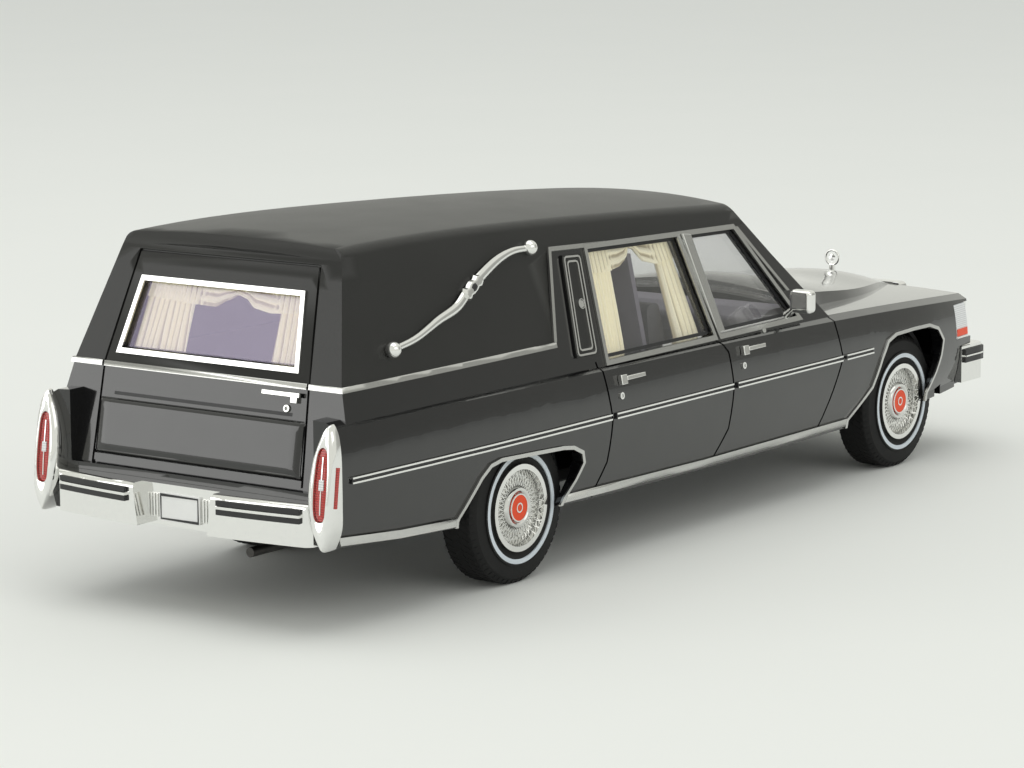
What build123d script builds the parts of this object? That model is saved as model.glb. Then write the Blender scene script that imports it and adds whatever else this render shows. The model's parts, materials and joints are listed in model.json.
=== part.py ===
from build123d import *
import os
from math import sqrt

os.makedirs("parts", exist_ok=True)

# A display model of a hearse, in millimetres. +X is forwards, +Y the car's left, +Z up.
# The origin is on the ground under the middle of the model.

# Driving sizes
overall_length = 145.5
body_half_width = 22.0
wheelbase = 85.4
front_overhang = 23.3
roof_height = 41.0
overrun = 12.0

half_length = overall_length / 2
front_axle_x = half_length - front_overhang
rear_axle_x = front_axle_x - wheelbase

# Walls and surface details of the body
wall = 1.3
seam_width = 0.3
seam_depth = 0.3
trim_proud = 0.28
trim_seat = 0.02
glass_inset = 0.35
glass_thickness = 0.6
glass_clearance = 0.05


def along(share):
    """Place along the car, as a share of the half length."""
    return share * half_length


def side_prism(points):
    """Prism across the whole car through an outline seen from the side."""
    with BuildPart() as prism:
        with BuildSketch(Plane.XZ):
            with BuildLine():
                Polyline(*points, close=True)
            make_face()
        extrude(amount=body_half_width + overrun, both=True)
    return prism.part


def plan_prism(points, low, high):
    """Upright prism between two heights through an outline seen from above."""
    with BuildPart() as prism:
        with BuildSketch(Plane.XY.offset(low)):
            with BuildLine():
                Polyline(*points, close=True)
            make_face()
        extrude(amount=high - low)
    return prism.part


def end_prism(points, start, end):
    """Prism along the car between two stations through an outline seen from its end."""
    with BuildPart() as prism:
        with BuildSketch(Plane.YZ.offset(start)):
            with BuildLine():
                Polyline(*points, close=True)
            make_face()
        extrude(amount=end - start)
    return prism.part


def block(low, high):
    """Box between two corners."""
    size = [high[i] - low[i] for i in range(3)]
    middle = [(high[i] + low[i]) / 2 for i in range(3)]
    with BuildPart() as box:
        with Locations(tuple(middle)):
            Box(*size)
    return box.part


def both_sides(piece):
    """A piece of the left side and its mirror image on the right."""
    return piece + piece.mirror(Plane.XZ)


def grown(points, amount):
    """An outline pushed outwards by an amount, its corners kept sharp."""
    with BuildSketch() as outline:
        with BuildLine():
            Polyline(*points, close=True)
        make_face()
        offset(amount=amount, kind=Kind.INTERSECTION)
    corners = outline.sketch.face().outer_wire().order_edges()
    return [(corner.position_at(0).X, corner.position_at(0).Y) for corner in corners]


# Lower body: rocker, sides and the shoulder that the fenders share
rocker_height = 8.0
rocker_tuck = 0.8
sill_hem = 1.0
bulge_height = 16.5
shoulder_height = 22.6
shoulder_tuck = 0.7
deck_round = 1.2
deck_rise = 0.65
deck_crown = 0.6
# Columns: station, half-width, rocker height and shoulder height, as shares of the sizes above
lower_section_shares = [
    (-0.951, 0.957, 1.24, 1.000),
    (-0.620, 0.990, 1.07, 1.000),
    (-0.140, 1.000, 0.96, 0.990),
    (0.410, 1.000, 0.95, 0.968),
    (0.710, 0.985, 1.00, 0.935),
    (0.921, 0.938, 1.12, 0.898)]


def lower_skin(grow, drop=0):
    """Lower body as one loft, grown by an amount and with its open edge dropped."""
    last = len(lower_section_shares) - 1
    with BuildPart() as skin:
        for number, row in enumerate(lower_section_shares):
            station_share, half_share, rocker_share, shoulder_share = row
            station = along(station_share)
            if number == 0:
                station = station - grow
            if number == last:
                station = station + grow
            half = half_share * body_half_width + grow
            low = rocker_share * rocker_height - drop
            hem = rocker_share * rocker_height + sill_hem
            shoulder = shoulder_share * shoulder_height + grow / 2
            shoulder_y = half - shoulder_tuck
            deck_y = shoulder_y - deck_round
            deck = shoulder + deck_rise + grow / 2
            with BuildSketch(Plane.YZ.offset(station)):
                with BuildLine():
                    Line((half - rocker_tuck, low), (half - rocker_tuck, hem))
                    ThreePointArc((half - rocker_tuck, hem), (half, bulge_height), (shoulder_y, shoulder))
                    Line((shoulder_y, shoulder), (deck_y, deck))
                    ThreePointArc((deck_y, deck), (0, deck + deck_crown), (-deck_y, deck))
                    Line((-deck_y, deck), (-shoulder_y, shoulder))
                    ThreePointArc((-shoulder_y, shoulder), (-half, bulge_height), (rocker_tuck - half, hem))
                    Line((rocker_tuck - half, hem), (rocker_tuck - half, low))
                    Line((rocker_tuck - half, low), (half - rocker_tuck, low))
                make_face()
        loft()
    return skin.part


# Upper body: the long coach roof with its leaning sides
cabin_base = 21.0
eave_run = 1.35
eave_rise = 1.0
eave_bulge_shares = (0.35, 0.66)
# Columns: station, base half-width, eave half-width, eave height and crown height, as shares
upper_section_shares = [
    (-0.950, 0.930, 0.698, 0.952, 0.990),
    (-0.550, 0.958, 0.715, 0.966, 1.008),
    (-0.165, 0.961, 0.719, 0.939, 0.990),
    (0.192, 0.961, 0.715, 0.903, 0.948),
    (0.470, 0.948, 0.697, 0.860, 0.904)]


def upper_skin(grow):
    """Roof and sides of the coach body as one loft, grown by an amount."""
    with BuildPart() as skin:
        for station_share, base_share, eave_share, eave_z_share, crown_share in upper_section_shares:
            base = base_share * body_half_width + grow
            eave = eave_share * body_half_width + grow
            eave_z = eave_z_share * roof_height + grow / 2
            crease = eave - eave_run
            crease_z = eave_z + eave_rise + grow / 2
            bulge = eave - eave_bulge_shares[0] * eave_run
            bulge_z = eave_z + eave_bulge_shares[1] * eave_rise + grow / 2
            crown = crown_share * roof_height + grow
            with BuildSketch(Plane.YZ.offset(along(station_share))):
                with BuildLine():
                    Line((base, cabin_base), (eave, eave_z))
                    ThreePointArc((eave, eave_z), (bulge, bulge_z), (crease, crease_z))
                    ThreePointArc((crease, crease_z), (0, crown), (-crease, crease_z))
                    ThreePointArc((-crease, crease_z), (-bulge, bulge_z), (-eave, eave_z))
                    Line((-eave, eave_z), (-base, cabin_base))
                    Line((-base, cabin_base), (base, cabin_base))
                make_face()
        loft()
    return skin.part


# Windscreen: a curved sheet that leans back from the cowl
header_x = 16.0
header_z = 38.4
cowl_x = 31.0
cowl_z = 24.9
screen_sag = 1.95
screen_half_width = 17.5

screen_run = Vector(cowl_x - header_x, 0, cowl_z - header_z)
screen_length = screen_run.length
screen_plane = Plane(origin=(header_x, 0, header_z), x_dir=(0, 1, 0), z_dir=screen_run)
screen_face = Plane(origin=(header_x, 0, header_z), x_dir=(0, 1, 0), z_dir=screen_plane.y_dir)


def cab_front(grow):
    """Everything behind the curved windscreen, grown by an amount."""
    with BuildPart() as front:
        with BuildSketch(screen_plane):
            with BuildLine():
                sag = ThreePointArc((-screen_half_width, grow - screen_sag), (0, grow),
                                    (screen_half_width, grow - screen_sag))
                wide = body_half_width + overrun
                Line(sag @ 1, (wide, grow - 2 * screen_sag))
                Line((wide, grow - 2 * screen_sag), (wide, -overall_length))
                Line((wide, -overall_length), (-wide, -overall_length))
                Line((-wide, -overall_length), (-wide, grow - 2 * screen_sag))
                Line((-wide, grow - 2 * screen_sag), sag @ 0)
            make_face()
        extrude(amount=overall_length, both=True)
    return front.part


# Tail: the slanted rear door between the fender fins
tail_low = 15.4
tail_belt = 26.5
tail_top = 38.8
tail_low_x = -68.35
tail_belt_x = -66.35
tail_top_x = -61.9
roof_lip = 1.2
roof_lip_drop = 0.5
fin_inner = 17.4
fin_top = 24.6
plate_low = 9.0


def tail_line(grow):
    """Side view of the rear door's face, pushed backwards by an amount."""
    return [(tail_low_x - grow, tail_low), (tail_belt_x - grow, tail_belt), (tail_top_x - grow, tail_top)]


def tail_slab(outer, inner):
    """Slab that follows the rear door's face between two depths."""
    return side_prism(tail_line(outer) + tail_line(inner)[::-1])


def coach_side(grow):
    """Side view of the coach body in front of the rear door's face."""
    lip = (tail_top_x - roof_lip - grow, tail_top + roof_lip_drop)
    above = roof_height + overrun
    return side_prism([(tail_low_x - grow, -overrun)] + tail_line(grow) + [
        lip, (lip[0], above), (half_length, above), (half_length, -overrun)])


def coach(grow):
    """The whole upper body, grown by an amount."""
    return upper_skin(grow) & coach_side(grow) & cab_front(grow)


# Hood: the raised middle between the fenders
hood_buried = 3.0
hood_side_run = 1.6
# Columns: station, half-width at its crease, shoulder height and middle height, as shares
hood_section_shares = [
    (0.405, 0.800, 0.592, 0.618),
    (0.620, 0.686, 0.573, 0.601),
    (0.800, 0.555, 0.552, 0.580),
    (0.895, 0.455, 0.532, 0.556),
    (0.926, 0.436, 0.519, 0.534)]


def hood_skin(grow):
    """The raised hood, grown by an amount."""
    with BuildPart() as skin:
        for station_share, half_share, shoulder_share, middle_share in hood_section_shares:
            half = half_share * body_half_width + grow
            shoulder = shoulder_share * roof_height + grow
            low = shoulder - hood_buried
            with BuildSketch(Plane.YZ.offset(along(station_share))):
                with BuildLine():
                    Line((half, low), (half - hood_side_run, shoulder))
                    ThreePointArc((half - hood_side_run, shoulder), (0, middle_share * roof_height + grow),
                                  (hood_side_run - half, shoulder))
                    Line((hood_side_run - half, shoulder), (-half, low))
                    Line((-half, low), (half, low))
                make_face()
        loft()
    return skin.part


# Wheels: sizes that the arches and the chassis follow
tyre_radius = 8.7
tyre_width = 5.2
tyre_outer_y = 20.05
axle_radius = 0.8
axle_clearance = 0.05
tub_gap = 1.0
tub_wall = 0.6
tub_side_gap = 0.25
pocket_y = 20.6

axle_z = tyre_radius
tyre_inner_y = tyre_outer_y - tyre_width

# Wheel arches: outlines from the side, as shares of the tyre's radius round each axle
rear_arch_shares = [
    (-1.55, -0.60), (-1.49, 0.08), (-1.26, 0.37), (-1.09, 0.57), (-0.91, 0.70), (-0.70, 0.74),
    (0.15, 0.71), (0.64, 0.69), (0.86, 0.66), (1.06, 0.57), (1.10, 0.45), (0.96, 0.25),
    (0.68, -0.06), (0.40, -0.60)]
front_arch_shares = [
    (-2.00, -0.60), (-1.81, -0.02), (-1.21, 0.39), (-0.95, 0.80), (-0.76, 1.02), (-0.52, 1.09),
    (0.05, 1.10), (0.53, 1.09), (0.80, 1.01), (0.95, 0.83), (0.89, 0.61), (0.78, 0.38),
    (0.58, 0.07), (0.40, -0.60)]


def arch_outline(shares, axle_x):
    """An arch's outline round an axle."""
    return [(axle_x + run * tyre_radius, axle_z + rise * tyre_radius) for run, rise in shares]


rear_arch = arch_outline(rear_arch_shares, rear_axle_x)
front_arch = arch_outline(front_arch_shares, front_axle_x)

# Side windows: heights of the line of glass, and the corners as shares of the half length
window_sill = 23.45
window_top_rear = 36.0
window_top_front = 35.3
window_top_slope = 0.03


def window_top(place):
    """Height of the side glass at a place along the car."""
    return window_top_rear - window_top_slope * (place - along(-0.25))


def pane(low_rear, top_rear, top_front, low_front):
    """A side window's outline from its four places along the car."""
    return [(low_rear, window_sill), (top_rear, window_top(top_rear)),
            (top_front, window_top(top_front)), (low_front, window_sill)]


rear_pane_shares = (-0.264, -0.250, 0.010, 0.043)
front_pane_shares = (0.066, 0.022, 0.187, 0.309)
rear_pane = pane(*[along(share) for share in rear_pane_shares])
front_pane = pane(*[along(share) for share in front_pane_shares])

# Windscreen opening and rear window, half-widths at the top and at the bottom
screen_top_half = 14.4
screen_low_half = 17.0
screen_top_margin = 1.2
screen_low_margin = 0.7
rear_glass_top = 35.4
rear_glass_low = 28.1
rear_glass_top_half = 11.2
rear_glass_low_half = 12.4


def trapezium(half_low, half_high, low, high):
    """Outline that narrows from its low edge to its high edge."""
    return [(-half_low, low), (-half_high, high), (half_high, high), (half_low, low)]


screen_outline = trapezium(screen_low_half, screen_top_half, screen_length - screen_low_margin,
                           screen_top_margin)
rear_glass_outline = trapezium(rear_glass_low_half, rear_glass_top_half, rear_glass_low, rear_glass_top)


def screen_prism(points):
    """Prism through the windscreen from an outline drawn on its own slope."""
    with BuildPart() as prism:
        with BuildSketch(Plane(origin=screen_face.origin, x_dir=(0, 1, 0), z_dir=-screen_plane.y_dir)):
            with BuildLine():
                Polyline(*points, close=True)
            make_face()
        extrude(amount=overrun, both=True)
    return prism.part


def tail_prism(points):
    """Prism through the tail from an outline seen from behind."""
    return end_prism(points, -half_length - overrun, tail_top_x + overrun / 2)


# Door seams, engraved in the sides, and the rear door's seam
door_seam_shares = [
    [(-0.296, 0.572), (-0.279, 0.407), (-0.291, 0.288), (-0.324, 0.195)],
    [(0.043, 0.568), (0.071, 0.517), (0.078, 0.411), (0.065, 0.290), (0.022, 0.195)],
    [(0.413, 0.545), (0.431, 0.417), (0.357, 0.195)]]
rear_door_seam_shares = [(0.682, 0.378), (0.664, 0.647), (0.582, 0.940)]


def door_seams():
    """Seam lines of the side doors as thin prisms across the car."""
    with BuildPart() as seams:
        with BuildSketch(Plane.XZ):
            for line in door_seam_shares:
                with BuildLine():
                    Polyline(*[(along(run), rise * roof_height) for run, rise in line])
                trace(line_width=seam_width)
        extrude(amount=body_half_width + overrun, both=True)
    return seams.part


def rear_door_seam():
    """Seam line round the rear door as a thin frame seen from behind."""
    half = [(run * body_half_width, rise * roof_height) for run, rise in rear_door_seam_shares]
    outline = half + [(-y, z) for y, z in half[::-1]]
    return tail_prism(grown(outline, seam_width / 2)) - tail_prism(grown(outline, -seam_width / 2))


# Front corner: bed of the bumper and pocket of the side lamp
bumper_top = 14.2
bumper_low = 9.3
bumper_end_x = 63.7
bumper_wall = 1.5
bumper_bed_half = 19.4
bumper_gap = 0.1
side_lamp_rear = 62.4
side_lamp_low = 15.3
side_lamp_top = 20.0
side_lamp_depth = 1.0
side_lamp_reach = 2.6
nose_x = along(lower_section_shares[-1][0])

outer_lower = lower_skin(0)
inner_lower = lower_skin(-wall, overrun)
outer_coach = coach(0)
inner_coach = coach(-wall)
outer_hood = hood_skin(0)

vinyl_belt = 26.3
vinyl_front_low_share = -0.392
vinyl_front_top_share = -0.350
vinyl_front_top = 36.75
vinyl_region = side_prism([
    (-half_length, vinyl_belt), (along(vinyl_front_low_share), vinyl_belt),
    (along(vinyl_front_top_share), vinyl_front_top), (header_x, window_top(header_x) + seam_width),
    (cowl_x, window_top(header_x) + seam_width), (cowl_x, roof_height + overrun),
    (-half_length, roof_height + overrun)])

side_lamp_bed = both_sides(block((side_lamp_rear, body_half_width - side_lamp_reach - wall, side_lamp_low),
                                 (nose_x + overrun, body_half_width + overrun, side_lamp_top)))

hollow = (inner_lower & coach_side(-wall)) + inner_coach
tail_recess = side_prism([
    (-half_length - overrun, tail_low), (tail_low_x, tail_low), (tail_belt_x, tail_belt),
    (-half_length - overrun, tail_belt)]) & block(
        (-half_length - overrun, -fin_inner, plate_low), (0, fin_inner, tail_belt))
openings = side_prism(rear_pane) + side_prism(front_pane) + screen_prism(screen_outline) + tail_prism(
    rear_glass_outline)
seams = (door_seams() - lower_skin(-seam_depth) - upper_skin(-seam_depth)) + (
    rear_door_seam() & tail_slab(wall, -seam_depth))

with BuildPart() as coach_shell:
    add(outer_coach)
    add(hollow, mode=Mode.SUBTRACT)
    add(openings, mode=Mode.SUBTRACT)
    add(seams, mode=Mode.SUBTRACT)

with BuildPart() as vinyl_roof:
    add(coach_shell.part)
    add(vinyl_region, mode=Mode.INTERSECT)
vinyl_roof.part.label = "vinyl_roof"
export_step(vinyl_roof.part, "parts/vinyl_roof.step")

with BuildPart() as body_shell:
    add(outer_lower)
    add(outer_coach - vinyl_region)
    add(outer_hood)
    # Hollow inside, open below
    add(hollow, mode=Mode.SUBTRACT)
    # Recess between the fins, back to the rear door's face
    add(tail_recess, mode=Mode.SUBTRACT)
    add(openings, mode=Mode.SUBTRACT)
    # Wheel arches and the pockets behind their lips
    add(side_prism(rear_arch) + side_prism(front_arch), mode=Mode.SUBTRACT)
    for axle_x in (rear_axle_x, front_axle_x):
        with Locations(Location((axle_x, 0, axle_z), (90, 0, 0))):
            Cylinder(tyre_radius + tub_gap, 2 * pocket_y, mode=Mode.SUBTRACT)
    # Bed of the front bumper and pockets of the side lamps
    add(both_sides(block((bumper_end_x - bumper_gap, bumper_bed_half, 0),
                         (half_length, body_half_width + overrun, bumper_top + bumper_gap))),
        mode=Mode.SUBTRACT)
    add(side_lamp_bed - lower_skin(-side_lamp_depth), mode=Mode.SUBTRACT)
    # Seams of the doors
    add(seams, mode=Mode.SUBTRACT)
body_shell.part.label = "body_shell"
export_step(body_shell.part, "parts/body_shell.step")

# Skins that the bright trims are cut from
coach_trim_skin = coach(trim_proud) - coach(trim_seat)
lower_trim_skin = lower_skin(trim_proud) - lower_skin(trim_seat)
window_trim_width = 0.6

# Glass
pane_slab = upper_skin(-glass_inset) - upper_skin(-glass_inset - glass_thickness)
for name, outline in (("rear_side_glass", rear_pane), ("front_side_glass", front_pane)):
    with BuildPart() as glass:
        add(pane_slab)
        add(side_prism(grown(outline, -glass_clearance)), mode=Mode.INTERSECT)
    glass.part.label = name
    export_step(glass.part, f"parts/{name}.step")

with BuildPart() as windscreen:
    add(screen_prism(grown(screen_outline, -glass_clearance)))
    add(cab_front(-glass_inset), mode=Mode.INTERSECT)
    add(cab_front(-glass_inset - glass_thickness), mode=Mode.SUBTRACT)
windscreen.part.label = "windscreen"
export_step(windscreen.part, "parts/windscreen.step")

with BuildPart() as rear_glass:
    add(tail_slab(-glass_inset, -glass_inset - glass_thickness))
    add(tail_prism(grown(rear_glass_outline, -glass_clearance)), mode=Mode.INTERSECT)
rear_glass.part.label = "rear_glass"
export_step(rear_glass.part, "parts/rear_glass.step")

# Bright frames round the windows
with BuildPart() as side_window_trims:
    for outline in (rear_pane, front_pane):
        add((side_prism(grown(outline, window_trim_width)) - side_prism(outline)) & coach_trim_skin)
    add(lower_skin(trim_seat), mode=Mode.SUBTRACT)
side_window_trims.part.label = "side_window_trims"
export_step(side_window_trims.part, "parts/side_window_trims.step")

with BuildPart() as windscreen_trim:
    add(screen_prism(grown(screen_outline, window_trim_width)) - screen_prism(screen_outline))
    add(cab_front(trim_proud), mode=Mode.INTERSECT)
    add(cab_front(trim_seat), mode=Mode.SUBTRACT)
    # Its lower bar runs in behind the hood's rear edge
    add(hood_skin(trim_seat), mode=Mode.SUBTRACT)
    add(lower_skin(trim_seat), mode=Mode.SUBTRACT)
windscreen_trim.part.label = "windscreen_trim"
export_step(windscreen_trim.part, "parts/windscreen_trim.step")

rear_frame_side = 0.55
with BuildPart() as rear_window_frame:
    add(tail_slab(trim_proud, trim_seat))
    add(tail_prism(grown(rear_glass_outline, rear_frame_side)) - tail_prism(rear_glass_outline),
        mode=Mode.INTERSECT)
rear_window_frame.part.label = "rear_window_frame"
export_step(rear_window_frame.part, "parts/rear_window_frame.step")

# Belt trim round the coach roof, and the drip rails over the side windows
belt_trim_height = 0.6
belt_trim_front_share = -0.350
with BuildPart() as belt_trim:
    add(coach_trim_skin & block(
        (-half_length, -body_half_width - overrun, vinyl_belt - belt_trim_height / 2),
        (along(belt_trim_front_share), body_half_width + overrun, vinyl_belt + belt_trim_height / 2)))
    add(rear_door_seam() & tail_slab(wall, -wall), mode=Mode.SUBTRACT)
belt_trim.part.label = "belt_trim"
export_step(belt_trim.part, "parts/belt_trim.step")

# Bright line up the front edge of the vinyl, along the roof and down the screen pillars
surround_width = 0.5
surround_end_share = 0.309
surround_top_front_share = 0.200
with BuildPart() as surround_trims:
    with BuildSketch(Plane.XZ):
        with BuildLine():
            Polyline((along(vinyl_front_low_share), vinyl_belt + belt_trim_height / 2 + trim_seat),
                     (along(vinyl_front_top_share), vinyl_front_top),
                     (along(surround_top_front_share), window_top(along(surround_top_front_share))),
                     (along(surround_end_share), vinyl_belt))
        trace(line_width=surround_width)
    extrude(amount=body_half_width + overrun, both=True)
    add(upper_skin(trim_proud) - upper_skin(trim_seat), mode=Mode.INTERSECT)
    for outline in (rear_pane, front_pane):
        add(side_prism(grown(outline, window_trim_width + trim_seat)), mode=Mode.SUBTRACT)
    add(block((-half_length, -body_half_width - overrun, 0),
              (half_length, body_half_width + overrun, vinyl_belt + belt_trim_height / 2 + trim_seat)),
        mode=Mode.SUBTRACT)
surround_trims.part.label = "surround_trims"
export_step(surround_trims.part, "parts/surround_trims.step")

# Fixed quarter panel trims behind the rear doors
quarter_shares = [(-0.322, 0.873), (-0.270, 0.868), (-0.288, 0.594), (-0.346, 0.595)]
with BuildPart() as quarter_trims:
    add(side_prism([(along(run), rise * roof_height) for run, rise in quarter_shares]))
    add(coach_trim_skin, mode=Mode.INTERSECT)
    add(side_prism(grown(rear_pane, window_trim_width + seam_width / 2)), mode=Mode.SUBTRACT)
    add(door_seams(), mode=Mode.SUBTRACT)
quarter_trims.part.label = "quarter_trims"
export_step(quarter_trims.part, "parts/quarter_trims.step")

# Side mouldings, broken at the door seams, and the lips of the arches and rockers
moulding_height = 17.05
moulding_width = 0.85
moulding_proud = 0.45
moulding_break = 0.9
moulding_rear_share = -0.930
moulding_front_share = 0.532
arch_lip = 0.45
rocker_trim_width = 0.9
# Columns: place along the car, height of the rocker's lower edge
rocker_line_shares = [(-0.945, 1.235), (-0.810, 1.135), (-0.500, 1.02), (0.0, 0.955), (0.500, 0.965), (0.870, 1.08)]

proud_skin = lower_skin(moulding_proud) - lower_skin(trim_seat)
with BuildPart() as side_mouldings:
    add(proud_skin & block(
        (along(moulding_rear_share), -body_half_width - overrun, moulding_height - moulding_width / 2),
        (along(moulding_front_share), body_half_width + overrun, moulding_height + moulding_width / 2)))
    for line in door_seam_shares:
        seam_x = along(max(run for run, rise in line[:-1] if abs(rise - 0.41) < 0.01))
        add(block((seam_x - moulding_break / 2, -body_half_width - overrun, moulding_height - moulding_width),
                  (seam_x + moulding_break / 2, body_half_width + overrun, moulding_height + moulding_width)),
            mode=Mode.SUBTRACT)
side_mouldings.part.label = "side_mouldings"
export_step(side_mouldings.part, "parts/side_mouldings.step")

with BuildPart() as arch_mouldings:
    for outline in (rear_arch, front_arch):
        add((side_prism(grown(outline, arch_lip)) - side_prism(outline)) & lower_trim_skin)
arch_mouldings.part.label = "arch_mouldings"
export_step(arch_mouldings.part, "parts/arch_mouldings.step")

with BuildPart() as rocker_mouldings:
    add(lower_trim_skin & side_prism(
        [(along(run), rise * rocker_height + sill_hem / 4) for run, rise in rocker_line_shares] +
        [(along(run), rise * rocker_height + sill_hem / 4 + rocker_trim_width)
         for run, rise in rocker_line_shares[::-1]]))
    for outline in (rear_arch, front_arch):
        add(side_prism(grown(outline, arch_lip + trim_seat)), mode=Mode.SUBTRACT)
rocker_mouldings.part.label = "rocker_mouldings"
export_step(rocker_mouldings.part, "parts/rocker_mouldings.step")

# Base plate: the pan that closes the body from below, with wheel tubs and axle hangers
plate_bottom = 10.0
plate_thickness = 1.2
plate_half_width = 18.2
plate_rear_share = -0.860
plate_front_share = 0.810
hanger_length = 4.4
hanger_inner_y = 8.0
hanger_width = 3.6
hanger_wall = 1.0
frame_rail_y = 9.8
frame_rail_width = 1.8
frame_rail_height = 1.6
plinth_screw_radius = 1.25
plinth_post_radius = 2.6
plinth_rear_share = -0.200
plinth_front_share = 0.330
body_lug_shares = (-0.210, 0.445)
body_lug_length = 4.0
body_lug_inner_y = 16.5

plate_top = plate_bottom + plate_thickness
plinth_post_height = frame_rail_height + plate_thickness
tub_radius = tyre_radius + tub_gap
tub_inner_y = tyre_inner_y - tub_side_gap
plate_rear_x = along(plate_rear_share)
plate_front_x = along(plate_front_share)

with BuildPart() as base_plate:
    add(block((plate_rear_x, -plate_half_width, plate_bottom), (plate_front_x, plate_half_width, plate_top)))
    # Frame rails under the pan, and the hangers that carry the axles
    for side in (-1, 1):
        rail_low = side * frame_rail_y - frame_rail_width / 2
        add(block((plate_rear_x, rail_low, plate_bottom - frame_rail_height),
                  (plate_front_x, rail_low + frame_rail_width, plate_bottom)))
    # Tubs over the wheels
    for axle_x in (rear_axle_x, front_axle_x):
        for side in (-1, 1):
            with Locations(Location((axle_x, side * (plate_half_width + tub_inner_y - tub_wall) / 2, axle_z),
                                    (90, 0, 0))):
                Cylinder(tub_radius + tub_wall, plate_half_width - tub_inner_y + tub_wall)
    with Locations((0, 0, plate_bottom - frame_rail_height - overrun / 2)):
        Box(overall_length, overall_length, overrun, mode=Mode.SUBTRACT)
    for axle_x in (rear_axle_x, front_axle_x):
        for side in (-1, 1):
            with Locations(Location((axle_x, side * (tub_inner_y + overrun / 2), axle_z), (90, 0, 0))):
                Cylinder(tub_radius, overrun, mode=Mode.SUBTRACT)
            with Locations((axle_x, side * (tub_inner_y + overrun / 2), plate_bottom - overrun)):
                Box(2 * tub_radius, overrun, 2 * overrun, mode=Mode.SUBTRACT)
            hanger_y = side * (hanger_inner_y + hanger_width / 2)
            hanger_low = axle_z - axle_radius - hanger_wall
            with Locations((axle_x, hanger_y, (hanger_low + plate_top) / 2)):
                Box(hanger_length, hanger_width, plate_top - hanger_low)
        with Locations(Location((axle_x, 0, axle_z), (90, 0, 0))):
            Cylinder(axle_radius + axle_clearance, 2 * plate_half_width, mode=Mode.SUBTRACT)
    # Posts for the screws of a display plinth
    for share in (plinth_rear_share, plinth_front_share):
        with Locations((along(share), 0, plate_bottom - frame_rail_height + plinth_post_height / 2)):
            Cylinder(plinth_post_radius, plinth_post_height)
        with Locations((along(share), 0, plate_bottom - frame_rail_height + plinth_post_height / 2)):
            Cylinder(plinth_screw_radius, 2 * plinth_post_height, mode=Mode.SUBTRACT)
base_plate.part.label = "base_plate"
export_step(base_plate.part, "parts/base_plate.step")

# Exhaust: one pipe with a silencer beside the right frame rail
pipe_radius = 0.55
silencer_radius = 1.5
silencer_length = 15.0
silencer_rear_share = -0.160
exhaust_y = -5.2
exhaust_rear_share = -0.900
exhaust_front_share = 0.480
exhaust_gap = 0.35
exhaust_z = axle_z - axle_radius - exhaust_gap - pipe_radius
exhaust_strap_shares = (-0.80, -0.30, 0.40)
exhaust_strap_length = 1.2
with BuildPart() as exhaust:
    with BuildSketch(Plane.YZ.offset(along(exhaust_rear_share))):
        with Locations((exhaust_y, exhaust_z)):
            Circle(pipe_radius)
    extrude(amount=along(exhaust_front_share - exhaust_rear_share))
    with BuildSketch(Plane.YZ.offset(along(silencer_rear_share))):
        with Locations((exhaust_y, exhaust_z)):
            Circle(silencer_radius)
    extrude(amount=silencer_length)
    fillet(exhaust.edges().filter_by(GeomType.CIRCLE).filter_by(
        lambda edge: edge.radius > (pipe_radius + silencer_radius) / 2), silencer_radius / 3)
    for share in exhaust_strap_shares:
        with Locations((along(share), exhaust_y, (exhaust_z + plate_bottom) / 2)):
            Box(exhaust_strap_length, pipe_radius, plate_bottom - exhaust_z)
exhaust.part.label = "exhaust"
export_step(exhaust.part, "parts/exhaust.step")

# Interior: floor pan with the raised casket deck, seat, partition, dashboard, wheel
deck_height = 20.3
floor_thickness = 1.0
interior_half_width = 19.4
deck_rear_share = -0.835
deck_front_share = -0.085
firewall_share = 0.372
with BuildPart() as interior_floor:
    with BuildSketch(Plane.XZ):
        with BuildLine():
            Polyline(
                (along(deck_rear_share), deck_height), (along(deck_front_share), deck_height),
                (along(deck_front_share), plate_top + floor_thickness),
                (along(firewall_share) - floor_thickness, plate_top + floor_thickness),
                (along(firewall_share) - floor_thickness, deck_height), (along(firewall_share), deck_height),
                (along(firewall_share), plate_top), (along(deck_front_share) - floor_thickness, plate_top),
                (along(deck_front_share) - floor_thickness, deck_height - floor_thickness),
                (along(deck_rear_share), deck_height - floor_thickness), close=True)
        make_face()
    extrude(amount=interior_half_width, both=True)
interior_floor.part.label = "interior_floor"
export_step(interior_floor.part, "parts/interior_floor.step")

# Chrome runners on the casket deck
runner_y_shares = (-0.55, -0.19, 0.19, 0.55)
runner_width = 0.8
runner_height = 0.5
runner_margin = 3.0
with BuildPart() as deck_runners:
    for share in runner_y_shares:
        with BuildSketch(Plane.XY.offset(deck_height)):
            with Locations(((along(deck_rear_share) + along(deck_front_share)) / 2, share * interior_half_width)):
                SlotOverall(along(deck_front_share - deck_rear_share) - 2 * runner_margin, runner_width)
        extrude(amount=runner_height)
deck_runners.part.label = "deck_runners"
export_step(deck_runners.part, "parts/deck_runners.step")

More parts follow.
